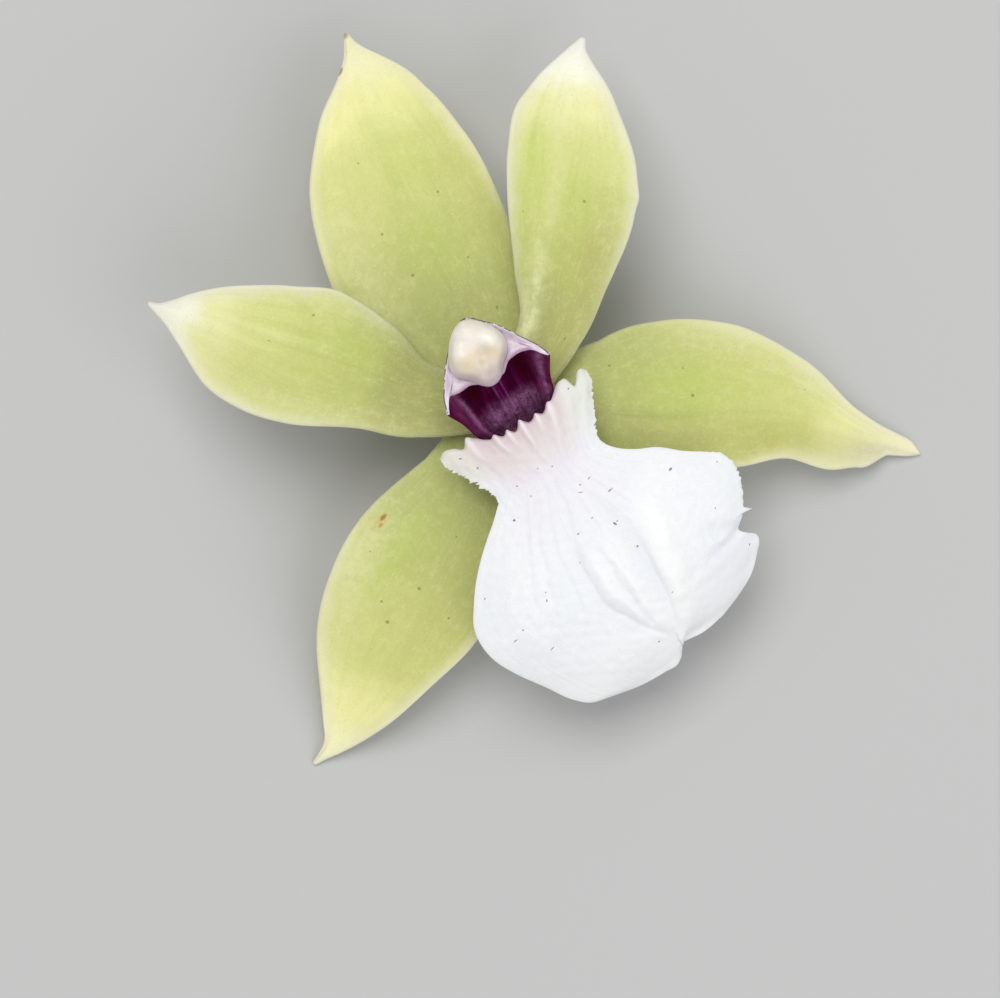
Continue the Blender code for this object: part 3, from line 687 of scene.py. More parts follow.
def tepal_material(name, tones, margin, seed, dust, blemishes):
    """Waxy yellow-green tissue: paler margins, whitish tip, soft streaks along the blade."""
    graph = tissue(name, 0.18, (0.9, 1.0, 0.45), 0.8, 0.3)
    between, lay = graph.between, graph.lay
    streaks = graph.streaks("across", 7.0, "along", 3.0, seed, 4.0, 0.55, 0.5)
    fine = graph.streaks("across", 26.0, "along", 16.0, seed + 3.0, 3.0, 0.6, 0.6)
    cloud = graph.noise(260.0, 4.0, 0.6, 0.4)
    mottle = graph.noise(1100.0, 4.0, 0.65)
    grain = graph.noise(4200.0, 2.0, 0.6)
    papillae = graph.cells(5200.0).outputs["Distance"]

    colour = graph.ramp(graph.math("ADD", "along", graph.swing(cloud, 0.16)), tones)
    for tone, share, other_share in (
        ((192, 209, 104), "green", between(streaks, 0.25, 0.7, 0.3, 0.75)),
        # painted shade, dark olive, where a blade turns from the light or lies by the lip and
        # column
        ((182, 181, 108), "dusk", between(cloud, 0.25, 0.75, 0.5, 0.8)),
        # the pale tone: partly the blade's own, partly painted light on the sides that face the
        # lamp
        ((234, 235, 182), "pale", between(mottle, 0.3, 0.65, 0.35, 0.75)),
        # painted shade, greyish, at a sepal's tip
        ((203, 198, 168), "grey", between(mottle, 0.3, 0.65, 0.55, 0.85)),
        ((182, 196, 102), between(streaks, 0.45, 0.75), between("along", 0.7, 0.92, 0.22, 0.05)),
    ):
        colour = lay(colour, tone, share, other_share)
    for tone, noise, *limits in (
        ((232, 234, 176), fine, 0.5, 0.8, 0.0, 0.2),
        ((232, 234, 172), mottle, 0.45, 0.75, 0.0, 0.2),
        ((244, 245, 205), grain, 0.55, 0.75, 0.0, 0.16),
        ((172, 184, 92), grain, 0.28, 0.45, 0.16, 0.0),
    ):
        colour = lay(colour, tone, between(noise, *limits))

    wander = graph.math("ADD", graph.swing(mottle, 1.3), graph.swing(cloud, 1.6))
    width = between("along", 0.2, 0.95, 1.0, 2.0)
    depth_in = graph.math("DIVIDE", graph.math("ADD", "edge_mm", wander), width)
    band = between(depth_in, 0.0, 1.0, 1.0, 0.0)
    colour = lay(colour, margin, band, between("along", 0.15, 0.6, 0.1, 0.55))
    rim = between("edge_mm", 0.0, 0.3, 1.0, 0.0)
    colour = lay(colour, (232, 227, 222), rim, between("along", 0.15, 0.6, 0.12, 0.4))

    ragged = graph.swing(mottle, 1.6)
    for place, spread, stain, share in blemishes:
        colour = lay(colour, stain, spot(graph, place, spread, ragged), share)
    for number, place in enumerate(dust):
        size = 0.7 + 0.25 * (number % 3)
        mark = spot(graph, place, (0.004 * size, 0.018 * size), ragged)
        colour = lay(colour, (104, 108, 60), mark, 0.55)
    under = lay(colour, (226, 230, 176), 0.35)
    colour = graph.mix("upper", under, colour)

    flat_tip = between("along", 0.7, 0.92, 1.0, 0.2)
    bumps = (
        (graph.times(streaks, flat_tip), 0.18, 0.3), (mottle, 0.1, 0.3), (grain, 0.05, 0.3),
        (papillae, 0.03, 0.3),
    )
    return graph.finish(colour, bumps, mottle, 0.44, 0.58)


def lip_material():
    """White tissue, lilac veins fanning out of the neck, and a pinkish callus."""
    graph = tissue("lip_tissue", 0.22, (1.0, 0.95, 0.95), 0.7, 0.25)
    between, mix, lay = graph.between, graph.mix, graph.lay
    veins = graph.streaks("across", 15.0, "along", 2.6, 5.0, 3.0, 0.55, 0.6)
    fine = graph.streaks("across", 60.0, "along", 14.0, 2.0, 2.0, 0.6, 0.4)
    cloud = graph.noise(240.0, 4.0, 0.6)
    mottle = graph.noise(1300.0, 4.0, 0.65)
    grain = graph.noise(4600.0, 2.0, 0.6)
    papillae = graph.cells(5600.0).outputs["Distance"]
    centre = between(graph.math("ABSOLUTE", "across"), 0.45, 0.95, 1.0, 0.15)
    near_neck = graph.times(between("along", 0.14, 0.6, 1.0, 0.0), centre)
    lobe_tone = mix(between("across", -0.2, 0.2), (226, 224, 210), (230, 231, 220))

    colour = mix(between(cloud, 0.35, 0.7), (243, 246, 250), (249, 250, 251))
    for tone, *shares in (
        ((230, 234, 242), between(grain, 0.3, 0.45, 0.4, 0.0)),
        ((236, 239, 245), between(mottle, 0.42, 0.62, 0.35, 0.0)),
        ((226, 230, 238), between(fine, 0.6, 0.8, 0.0, 0.25)),
        ((224, 217, 232), between(veins, 0.5, 0.7), near_neck, 0.5),
        ((238, 232, 241), near_neck, 0.6),
        # painted shade in the blade's furrows
        ((214, 216, 222), "fold", 0.25),
        # painted bluish shade on the right flap, which turns away from the light
        ((236, 238, 250), "flap", 0.5),
        (lobe_tone, between("along", 0.04, 0.22, 0.8, 0.0)),
        ((253, 253, 253), between("along", 0.7, 0.95, 0.0, 0.8)),
        # painted highlight on the blade's raised ridges
        ((255, 255, 255), "swell", 0.8),
    ):
        colour = lay(colour, tone, *shares)
    warm = mix(between(cloud, 0.35, 0.65), (234, 221, 219), (232, 216, 222))
    warm = lay(warm, (238, 228, 226), between(mottle, 0.5, 0.7, 0.0, 0.35))
    # painted shade in the valleys between the callus ridges, and painted highlight on their crests
    warm = lay(warm, (214, 192, 198), "groove", 0.75)
    warm = lay(warm, (250, 240, 246), "crest", 0.8)
    colour = lay(colour, warm, "callus", 0.95)
    faded = between(grain, 0.3, 0.55, 0.55, 1.0)
    colour = lay(colour, (70, 70, 78), flecks(graph, LIP_SPECKS), "upper", faded, 0.85)
    colour = lay(colour, (140, 142, 156), scattered_dots(graph, 260.0, 0.12, 0.05), 0.35)
    colour = lay(colour, (238, 241, 236), between("edge_mm", 0.0, 0.4, 1.0, 0.0), 0.35)
    bumps = (
        (veins, 0.2, 0.25), (fine, 0.06, 0.25), (mottle, 0.08, 0.25), (grain, 0.04, 0.3),
        (papillae, 0.03, 0.25),
    )
    return graph.finish(colour, bumps, mottle, 0.46, 0.6)


def column_material():
    """Deep purple hollow face with paler streaks, a lilac hood and speckled outer edges."""
    graph = tissue("column_tissue", 0.12, (0.8, 0.3, 0.6), 0.4, 0.02)
    between, mix, lay = graph.between, graph.mix, graph.lay
    streaks = graph.streaks("lateral", 8.0, "height", 2.0, 4.0, 4.0, 0.65, 0.6)
    mottle = graph.noise(1500.0, 4.0, 0.65)
    fine = graph.noise(9000.0, 2.0, 0.7)
    sideways = graph.math("ABSOLUTE", "lateral")

    purple = mix(between(streaks, 0.42, 0.75), (64, 0, 42), (106, 14, 84))
    wing_tone = mix(between(streaks, 0.35, 0.7), (94, 16, 68), (140, 66, 118))
    purple = lay(purple, wing_tone, between(sideways, 0.62, 0.82, 0.0, 0.68))
    # low on the face: partly its own frosted lilac bloom, partly painted light that lifts the shade
    # the callus casts there
    frost_and_painted_light = mix(between(fine, 0.3, 0.75), (140, 76, 132), (184, 144, 178))
    purple = lay(
        purple, frost_and_painted_light, between("height", 0.24, 0.47, 0.85, 0.0),
        between(mottle, 0.3, 0.65, 0.35, 1.0), between(sideways, 0.45, 0.9, 1.0, 0.25),
        between(streaks, 0.3, 0.6, 0.4, 1.0),
    )
    # painted shade, deepest in the face's two hollows
    purple = lay(purple, (48, 0, 12), "hollow", 0.95)
    # pale streaks; the outer two are painted highlights along the wings' folds
    purple = lay(purple, (158, 104, 146), "streak", between(mottle, 0.35, 0.6, 0.2, 0.8))
    purple = lay(purple, (84, 2, 48), between(sideways, 0.93, 0.985, 0.0, 0.85))

    lilac = mix(between(mottle, 0.35, 0.7), (224, 208, 220), (243, 233, 243))
    lilac = lay(lilac, (196, 170, 200), between(fine, 0.55, 0.75, 0.0, 0.3))
    lilac = lay(lilac, (158, 108, 150), "inner_rim", between(mottle, 0.3, 0.6, 0.35, 0.8))
    lilac = lay(lilac, (66, 34, 74), "crease", 0.85)
    back = mix(between(mottle, 0.4, 0.7), (204, 206, 178), (220, 212, 212))
    back = lay(
        back, (150, 104, 146), between(streaks, 0.45, 0.7), between("height", 0.35, 1.0), 0.7,
    )
    colour = mix("hood", mix("front", back, purple), lilac)
    edge_line = graph.times("outer_edge", between(mottle, 0.4, 0.48))
    colour = lay(colour, (74, 28, 66), between(edge_line, 0.3, 0.7, 0.0, 0.85))
    bumps = ((streaks, 0.3, 0.35), (mottle, 0.12, 0.3), (fine, 0.05, 0.25))
    return graph.finish(colour, bumps, mottle, 0.5, 0.7)


def cap_material():
    """Cream waxy anther cap, yellower on its lobes and lilac towards its beak."""
    graph = tissue("anther_cap_tissue", 0.2, (1.0, 0.8, 0.5), 0.4, 0.35)
    mottle = graph.noise(900.0, 4.0, 0.6)
    fine = graph.noise(3200.0, 3.0, 0.6)
    colour = graph.mix(graph.between(mottle, 0.35, 0.7), (236, 228, 216), (246, 241, 232))
    broken = graph.between(mottle, 0.2, 0.6, 0.7, 1.0)
    # the brightest tone is painted highlight; the dark tan and the rim band are painted shade, and
    # the beak's lilac-grey is partly its own tint and partly painted shade
    for name, share, tone in (
        ("lobe", 0.85, (241, 222, 182)), ("saddle", 0.8, (214, 192, 162)),
        ("bright", 0.8, (255, 252, 240)), ("beak", 0.9, (206, 184, 180)),
        ("skirt", 0.8, (190, 166, 176)),
    ):
        colour = graph.lay(colour, tone, name, broken, share)
    return graph.finish(colour, ((mottle, 0.22, 0.4), (fine, 0.06, 0.35)), mottle, 0.36, 0.5)


def stalk_material():
    """Green ribbed ovary and pedicel, darker in the grooves, with a fibrous cut end."""
    graph = tissue("stalk_tissue", 0.2, (0.6, 1.0, 0.3), 0.8, 0.4)
    between, lay = graph.between, graph.lay
    along = graph.times("along", 3.0)
    streaks = graph.streaks("around_x", 6.0, "around_y", 6.0, along, 4.0, 0.6, 0.3)
    mottle = graph.noise(600.0, 4.0, 0.6)
    grain = graph.cells(4200.0).outputs["Distance"]
    tones = (
        (0.0, (176, 186, 110)), (0.25, (120, 142, 62)), (0.6, (98, 124, 52)), (1.0, (112, 134, 62)),
    )
    colour = graph.ramp("along", tones)
    colour = lay(colour, (160, 176, 96), between(streaks, 0.4, 0.7, 0.0, 0.35))
    colour = lay(colour, (84, 104, 44), "groove", 0.35)
    colour = lay(colour, (128, 110, 70), between(mottle, 0.5, 0.8, 0.0, 0.3))
    flesh = graph.mix(between(grain, 0.1, 0.5), (170, 172, 104), (206, 208, 150))
    colour = lay(colour, flesh, "cut")
    bumps = ((streaks, 0.2, 0.35), (mottle, 0.12, 0.3), (grain, 0.04, 0.3))
    return graph.finish(colour, bumps, mottle, 0.38, 0.56)


def pollinium_material():
    """Glossy yellow pollen masses."""
    graph = tissue("pollen_mass", 0.3, (1.0, 0.7, 0.2), 0.4, 0.5)
    mottle = graph.noise(2500.0, 4.0, 0.6)
    colour = graph.mix(graph.between(mottle, 0.3, 0.7), (228, 190, 84), (242, 214, 120))
    return graph.finish(colour, ((mottle, 0.08, 0.3),), mottle, 0.25, 0.4)


# ---------------------------------------------------------------- sepals and petals


def tepal_edge_lift(shape, row, side):
    """How far the waves push a tepal's margins outward, and how far they lift them."""
    outward = 0.0
    upward = 0.0
    for sign, place, length, out_size, up_size in shape["waves"]:
        at_edge = np.clip(side * sign, 0.0, 1.0) ** 3 * hump(row, place, length)
        outward = outward + sign * out_size * at_edge
        upward = upward + up_size * at_edge
    return outward, upward


def tepal_surface(shape, s, t):
    """The tepal's middle surface on a grid, with each point's half width."""
    midrib = smooth_curve(STATIONS, shape["midrib"], s)
    along = unit(path_steps(STATIONS, shape["midrib"], s)[:, :2])
    across = np.stack((-along[:, 1], along[:, 0]), axis=1)
    left = smooth_curve(WIDTH_STATIONS, shape["left"], s)[:, None]
    right = smooth_curve(WIDTH_STATIONS, shape["right"], s)[:, None]
    past = np.clip((s - TIP_START) / TIP_LENGTH, 0.0, 1.0)[:, None]
    tip_round = np.sqrt(np.clip(1.0 - past ** 2, 0.02, 1.0))
    half = np.maximum(np.where(t[None, :] > 0, left, right), LEAST_HALF_WIDTH) * tip_round
    cup = smooth_curve(STATIONS, shape["cup"], s)[:, None]

    row = s[:, None]
    side = t[None, :]
    outward, upward = tepal_edge_lift(shape, row, side)
    offset = side * half + outward
    lift = cup * side ** 2 + upward
    for place, start, end, width, depth in shape["furrows"]:
        reach = smoothstep(start, start + 0.1, row) * (1.0 - smoothstep(end - 0.15, end, row))
        line = place * (left if place > 0 else right)
        lift = lift - depth * hump(offset, line, width) * reach
    wrap = ROOT_RADIUS - np.sqrt(np.maximum(ROOT_RADIUS ** 2 - offset ** 2, 0.0))
    wrap = (wrap + ROOT_REACH) * np.maximum(1.0 - row / STATIONS[1], 0.0)
    x = midrib[:, 0:1] + across[:, 0:1] * offset - along[:, 0:1] * wrap
    y = midrib[:, 1:2] + across[:, 1:2] * offset - along[:, 1:2] * wrap
    z = midrib[:, 2:3] + lift
    return np.stack((x, y, z), axis=2), half


def patch_masks(patches, row, side):
    """For each kind of patch, how strong it is at each point."""
    masks = {kind: 0.0 * row * side for kind in ("green", "dusk", "pale", "grey")}
    for kind, place_along, place_across, spread_along, spread_across, strength in patches:
        reach = hump(row, place_along, spread_along) * hump(side, place_across, spread_across)
        masks[kind] = np.maximum(masks[kind], strength * reach)
    return masks


def add_tepal(node, shape, thickness, material, seed):
    """A sepal or petal as a closed fleshy sheet with rounded margins."""
    s = 0.5 - 0.5 * np.cos(np.pi * np.linspace(0.0, 1.0, TEPAL_ROWS))
    t = np.sin(np.linspace(1.0, -1.0, TEPAL_COLUMNS) * np.pi / 2.0)
    row = s[:, None]
    side = t[None, :]
    middle, half = tepal_surface(shape, s, t)
    x, y = middle[..., 0], middle[..., 1]
    relief = TEPAL_SWELL * uneven(x, y, seed, size=7.0)
    relief = relief + TEPAL_RIPPLE * uneven(x, y, seed + 50, size=2.4)
    middle[..., 2] += relief * smoothstep(0.3, 0.45, row)  # near the root the neighbours are close

    length = np.linalg.norm(np.diff(np.array(shape["midrib"]), axis=0), axis=1).sum()
    edge = np.minimum((1.0 - np.abs(side)) * half, (1.0 - row) * length)
    # thickest along the midrib, and thinner near the tip
    flesh = (1.0 - side ** 2) * np.minimum(1.0, 1.6 * (1.0 - row) + 0.1)
    body = MARGIN_SHARE + (1.0 - MARGIN_SHARE) * flesh
    body = body * rounding(np.minimum(edge, row * length), EDGE_ROUND, least=0.01)
    half_depth = surface_normals(middle) * (thickness * body / 2.0)[..., None]
    masks = {
        "along": row, "across": side, "edge_mm": edge, **patch_masks(shape["patches"], row, side),
    }
    return add_sheet(
        f"{node}_blade", middle + half_depth, middle - half_depth, masks, material, node,
    )


# ---------------------------------------------------------------- lip

# Ridges that run down the callus from its teeth: x at the tooth, width, height, place where it
# has faded out
CALLUS_RIDGES = (
    (-7.0, 0.8, 0.2, 0.12), (-4.95, 0.45, 0.25, 0.11), (-2.62, 0.34, 0.4, 0.12),
    (-1.44, 0.3, 0.32, 0.1), (-0.02, 0.36, 0.5, 0.18), (1.53, 0.34, 0.32, 0.1),
    (2.95, 0.6, 0.5, 0.2), (5.0, 0.95, 0.5, 0.17), (7.0, 0.6, 0.4, 0.2),
)
CALLUS_NARROWING = 0.8  # how much the ridges draw together down the lip
# The fold at the blade's right, below which its flap falls away: x and y
FLAP_FOLD = ((10.2, -19.0), (7.9, -20.9), (5.7, -22.9), (4.2, -24.5), (2.9, -26.3))
FLAP_DROP = 0.42  # how steeply it does
FRINGE_FINENESS = 260.0  # the higher, the finer the hairs along the lip's margin
# Furrows and folds of the blade: points x, y along each, then width and depth (negative: a ridge)
LIP_FURROWS = (
    (((-0.7, -8.0), (-1.1, -12.4), (-2.05, -16.0), (-2.0, -18.5), (-1.5, -20.9), (-0.1, -23.0),
      (1.4, -25.0), (2.1, -26.3)), 0.26, 0.15),
    (((-0.6, -9.0), (-1.2, -12.4), (-2.3, -16.0), (-2.3, -18.5), (-1.8, -20.9), (-0.4, -23.2),
      (1.2, -25.3)), 0.9, 0.17),
    (((-0.8, -13.0), (-0.9, -16.8), (-0.75, -18.7), (-0.2, -20.8), (0.6, -23.2)), 0.45, -0.17),
    (((0.0, -13.6), (0.15, -18.0), (0.4, -20.0), (0.6, -21.9), (1.3, -24.8)), 0.22, 0.12),
    (((1.0, -12.0), (0.75, -16.5), (1.15, -18.5), (1.25, -20.7), (1.5, -23.8)), 0.42, -0.2),
    (((1.5, -7.6), (2.4, -11.0), (2.9, -14.0), (3.2, -17.2), (3.2, -20.6), (3.0, -22.8),
      (2.7, -24.6), (2.3, -26.5)), 0.75, 0.27),
    (((3.6, -13.0), (3.75, -16.5), (3.65, -19.5), (3.25, -22.8), (2.6, -25.8)), 0.2, 0.09),
    (((6.4, -10.0), (6.0, -15.0), (5.2, -19.5), (4.4, -22.1), (3.6, -24.3), (3.0, -26.0)),
     1.3, -0.45),
    (((12.6, -20.2), (11.2, -19.6), (9.4, -18.9)), 0.7, 0.16),
    (((13.0, -21.0), (11.4, -20.6), (9.6, -20.1)), 0.4, -0.12),
    (((-0.8, -7.6), (-2.2, -10.6), (-3.2, -13.8), (-3.3, -16.7), (-4.3, -20.6)), 0.24, 0.1),
    (((-1.4, -7.6), (-3.2, -10.4), (-4.6, -13.3), (-5.6, -16.6), (-6.3, -19.6)), 0.24, 0.07),
    (((-1.9, -7.4), (-4.8, -11.4), (-6.8, -15.2), (-7.8, -18.2)), 0.24, 0.05),
    (((0.0, -6.8), (-0.3, -10.2), (-1.0, -13.0)), 0.24, 0.1),
    (((0.5, -7.0), (1.0, -10.6), (1.05, -13.2), (0.9, -16.6)), 0.22, 0.09),
    (((1.6, -7.0), (3.4, -10.6), (5.0, -13.4)), 0.22, 0.06),
)
# Dark specks of dust that lie on the blade: x, y, half length, half width and turn
LIP_SPECKS = (
    (9.4, -12.4, 0.17, 0.09, 0.35), (3.8, -11.2, 0.25, 0.05, 0.15), (2.6, -14.0, 0.17, 0.08, -1.1),
    (3.3, -16.8, 0.09, 0.08, 0.0), (-5.0, -9.1, 0.1, 0.09, 0.0), (-0.7, -13.1, 0.1, 0.05, 0.2),
    (-6.2, -16.8, 0.11, 0.06, 1.2), (1.1, -12.5, 0.09, 0.05, 0.2), (-10.5, -18.5, 0.2, 0.04, 0.2),
    (0.6, -25.3, 0.08, 0.05, 0.3), (11.1, -17.5, 0.07, 0.05, 0.5), (3.9, -22.0, 0.07, 0.05, 0.0),
    (12.2, -22.0, 0.08, 0.05, 1.0), (13.4, -14.0, 0.07, 0.05, 0.4),
    (-8.0, -20.8, 0.22, 0.035, 0.25), (-10.9, -13.8, 0.08, 0.05, 0.2),
    (-5.9, -16.1, 0.06, 0.05, 0.0), (-2.6, -8.0, 0.06, 0.05, 0.0), (2.7, -9.3, 0.15, 0.035, 0.3),
    (-3.2, -6.6, 0.07, 0.05, 0.0), (-9.4, -18.0, 0.08, 0.05, 0.0), (2.9, -13.9, 0.1, 0.04, 0.3),
    (1.4, -10.0, 0.2, 0.03, -0.5), (-1.9, -15.4, 0.1, 0.03, 1.3), (-6.3, -1.9, 0.14, 0.05, -0.5),
    (-5.4, -3.4, 0.08, 0.06, 0.0), (-0.8, -6.2, 0.07, 0.05, 0.0), (0.4, -6.7, 0.08, 0.04, 0.4),
    (1.7, -9.4, 0.1, 0.04, -0.5), (5.2, -1.5, 0.08, 0.05, 0.3),
)


def furrow_depth(x, y, points, width, depth):
    """Depth at each x, y of a furrow along a bent line, fading out towards the line's ends."""
    line = np.array(points)
    nearest = np.full(x.shape, 1e9)
    place = np.zeros(x.shape)
    count = len(line) - 1
    for i in range(count):
        step = line[i + 1] - line[i]
        from_x = x - line[i, 0]
        from_y = y - line[i, 1]
        u = np.clip((from_x * step[0] + from_y * step[1]) / (step @ step), 0.0, 1.0)
        gap = np.hypot(from_x - u * step[0], from_y - u * step[1])
        closer = gap < nearest
        nearest = np.where(closer, gap, nearest)
        place = np.where(closer, (i + u) / count, place)
    fade = smoothstep(0.0, 0.35, place) * (1.0 - 0.6 * smoothstep(0.75, 1.0, place))
    return depth * hump(nearest, 0.0, width) * fade


def lip_face(s, v):
    """The lip's smooth upper face through its three long lines, and its half width at each row."""
    left, middle, right = (
        table_curve(line, s)[:, None, :] for line in (LIP_LEFT, LIP_MIDDLE, LIP_RIGHT)
    )
    side = v[None, :, None]
    face = middle * (1.0 - side ** 2)
    face = face + right * (side ** 2 + side) / 2.0 + left * (side ** 2 - side) / 2.0
    return face, np.abs(right[..., 0] - left[..., 0]) / 2.0


def cut_lip_edges(face, row):
    """Gives the callus its toothed edge and the blade its lower edge with the tucked fold."""
    teeth = table_curve(TOOTHED_EDGE, face[:1, :, 0]) - face[:1, :, 1]
    tuck = table_curve(LOWER_EDGE, face[-1:, :, 0]) - face[-1:, :, 1]
    face[..., 1] += teeth * fade_out(row, 0.06, 1.4) + tuck * smoothstep(0.86, 1.0, row)


def callus_crests(start_x, row):
    """How much of each point of the callus is on the crest of a ridge."""
    crests = 0.0
    for place, width, _, end in CALLUS_RIDGES:
        line = place * (1.0 - CALLUS_NARROWING * row)
        crest = hump(start_x, line, width * 0.6) * fade_out(row, 0.8 * end)
        crests = np.maximum(crests, crest)
    return crests


def raise_callus(face, start_x, row):
    """Raises the ridges of the callus and rounds over its toothed edge."""
    for place, width, height, end in CALLUS_RIDGES:
        line = place * (1.0 - CALLUS_NARROWING * row)
        ridge = height * hump(start_x, line, width * (1.0 + 1.5 * row))
        face[..., 2] += ridge * fade_out(row, end, 1.2)
    face[..., 2] -= 0.3 * fade_out(row, 0.014, 2)


def fringe_lip(face, row, side):
    """Draws out the fringe of the side lobes and right shoulder, and the small spur there."""
    outline = np.abs(side) ** 30
    place = row * FRINGE_FINENESS
    hairs = uneven(place, 0.0 * row, seed=5, size=2.4)
    hairs = hairs + 0.7 * uneven(place, 0.0 * row, seed=6, size=1.0)
    left_lobe = 0.22 * hump(row, 0.14, 0.09) * (side < 0)
    right_lobe = (0.12 * hump(row, 0.12, 0.09) + 0.1 * hump(row, 0.62, 0.12)) * (side > 0)
    spur = outline * hump(row, 0.712, 0.0032) * (side > 0)
    face[..., 0] += np.sign(side) * (outline * hairs * (left_lobe + right_lobe) + 0.85 * spur)
    face[..., 1] -= 0.5 * spur


def lip_folds(x, y):
    """How deep the blade's furrows and folds lie, with its ridges as negative depths."""
    wander = 0.14 * uneven(x, y, seed=14, size=2.6)
    return sum(furrow_depth(x + wander, y, *furrow) for furrow in LIP_FURROWS)


def lip_relief(x, y, row, side):
    """Fine fans, crumples and rolls of the blade, and the pebbled skin of the neck."""
    blade = smoothstep(0.2, 0.4, row)
    calm = 1.0 - np.abs(side) ** 6
    fan = uneven(side * 30.0 + 0.0 * row, row * 3.0, seed=8, size=3.0)
    fan = fan * (1.0 - 0.7 * smoothstep(0.5, 0.75, row))
    crumple = uneven(x, y * 0.8, seed=9, size=1.2)
    crumple = crumple * hump(x, 0.6, 1.8) * smoothstep(0.35, 0.5, row)
    swell = 0.07 * uneven(x, y, seed=10, size=6.0) * calm
    relief = blade * (0.022 * fan + 0.035 * crumple + swell)
    relief += 0.02 * uneven(x, y, seed=12, size=1.1) * smoothstep(0.02, 0.1, row) * calm
    pebbles = 0.018 * uneven(x, y, seed=16, size=0.55)
    pebbles = pebbles + 0.03 * uneven(1.6 * x, y, seed=17, size=1.5)
    relief += pebbles * (smoothstep(0.01, 0.05, row) * smoothstep(0.38, 0.2, row))
    return relief - 0.2 * np.abs(side) ** 10 * blade


def right_flap(x, y):
    """How far out each point lies on the right flap, which falls away below its fold."""
    fold = np.array(FLAP_FOLD)
    fold_x = np.interp(-y, -fold[:, 1], fold[:, 0])
    return np.clip((x - fold_x) / 4.0, 0.0, 1.5) * smoothstep(-18.6, -20.6, y)


def tip_drop(x, y):
    """How far the blade's lowest part turns down."""
    past = ((-y - 24.9) + 0.12 * (x + 3.0)) * (x < 2.3)
    return 0.12 * np.clip(past, 0.0, 3.0) ** 1.6 * smoothstep(-7.5, -3.5, x)


def add_lip(material):
    """The lip: ridged callus, fringed side lobes and a broad folded blade, one closed sheet."""
    s = np.linspace(0.0, 1.0, LIP_ROWS) ** 1.15
    spread = np.linspace(-1.0, 1.0, LIP_COLUMNS)
    v = 0.35 * np.sin(spread * np.pi / 2.0) + 0.65 * spread
    row = s[:, None]
    side = v[None, :]
    face, half = lip_face(s, v)
    start_x = face[:1, :, 0].copy()
    cut_lip_edges(face, row)
    raise_callus(face, start_x, row)
    fringe_lip(face, row, side)
    x, y = face[..., 0].copy(), face[..., 1].copy()
    folds = lip_folds(x, y)
    flap = right_flap(x, y)
    depth = folds * (1.0 + 0.16 * uneven(x, y, seed=15, size=1.5))
    face[..., 2] += lip_relief(x, y, row, side) - depth - FLAP_DROP * flap ** 1.4 - tip_drop(x, y)

    edge = np.minimum((1.0 - np.abs(side)) * half, (1.0 - row) * LIP_LENGTH)
    body = LIP_THICKNESS * (1.0 - 0.5 * side ** 2) * (1.0 - 0.4 * row)
    body = body * rounding(edge, radius=0.3, least=0.02)
    callus = fade_out(row, 0.2, 1.5) * np.clip(1.0 - (side / 0.62) ** 4, 0.0, 1.0)
    under = face.copy()
    under[..., 2] -= body + (CALLUS_THICKNESS - LIP_THICKNESS) * callus

    warm = fade_out(row, 0.24, 0.8) * (1.0 - smoothstep(0.45, 0.85, np.abs(side + 0.06)))
    crest = callus_crests(start_x, row)
    # groove, fold and flap carry painted shade; crest and swell carry painted highlight
    masks = {
        "along": row, "across": side, "edge_mm": edge, "callus": warm, "crest": crest,
        "groove": warm * fade_out(row, 0.16) * (1.0 - np.clip(1.6 * crest, 0.0, 1.0)),
        "fold": np.clip(depth / 0.35, 0.0, 1.0), "swell": np.clip(-folds / 0.3, 0.0, 1.0),
        "flap": np.clip(2.5 * flap, 0.0, 1.0),
    }
    return add_sheet("lip_blade", face, under, masks, material, "lip")


# ---------------------------------------------------------------- column and anther cap


def hood_height(y):
    """How far the column's top stands above its middle at y, where it slopes up to the back."""
    return HOOD_SLOPE * (y - HOOD_MIDDLE_Y)


def column_ring(share, half_width, wing_y, hollow, back_y, roundness):
    """One cross-section of the column, from the right wing round the back, then the front."""
    span = np.cos(np.pi * np.linspace(0.0, 1.0, COLUMN_SIDE_POINTS))
    rounded = np.clip(1.0 - np.abs(span) ** roundness, 0.0, 1.0) ** (1.0 / roundness)
    pointing = smoothstep(0.4, 1.0, share)
    back_shape = table_curve(HOOD_BACK, span) * pointing + rounded * (1.0 - pointing)
    back = wing_y + (back_y - wing_y) * back_shape

    front_half = half_width - 0.22 * smoothstep(0.0, 0.1, share)
    twin = 1.0 - 0.2 * hump(span, 0.03, 0.16)  # a low ridge parts the hollow in two
    flatness = 4.0 + np.where(span < 0.0, 8.0, 3.0) * pointing
    rim = smoothstep(0.86, 1.0, share)
    scoop = (1.0 - np.abs(span) ** flatness) * twin * (1.0 - rim)
    scoop = scoop + table_curve(HOOD_FRONT, span) * rim
    strands = 0.045 * uneven(span * 16.0, 0.0 * span + share * 1.4, seed=31, size=2.4)
    strands = strands * (1.0 - span ** 8) * smoothstep(1.0, 0.9, share)
    front = wing_y - 0.05 + hollow * scoop + strands

    x = np.concatenate((half_width * span, front_half * span[::-1]))
    y = np.concatenate((back, front[::-1]))
    z = COLUMN_FOOT + share * (COLUMN_TOP - COLUMN_FOOT) + share ** 2 * hood_height(y)
    return np.stack((x, y, z), axis=1)


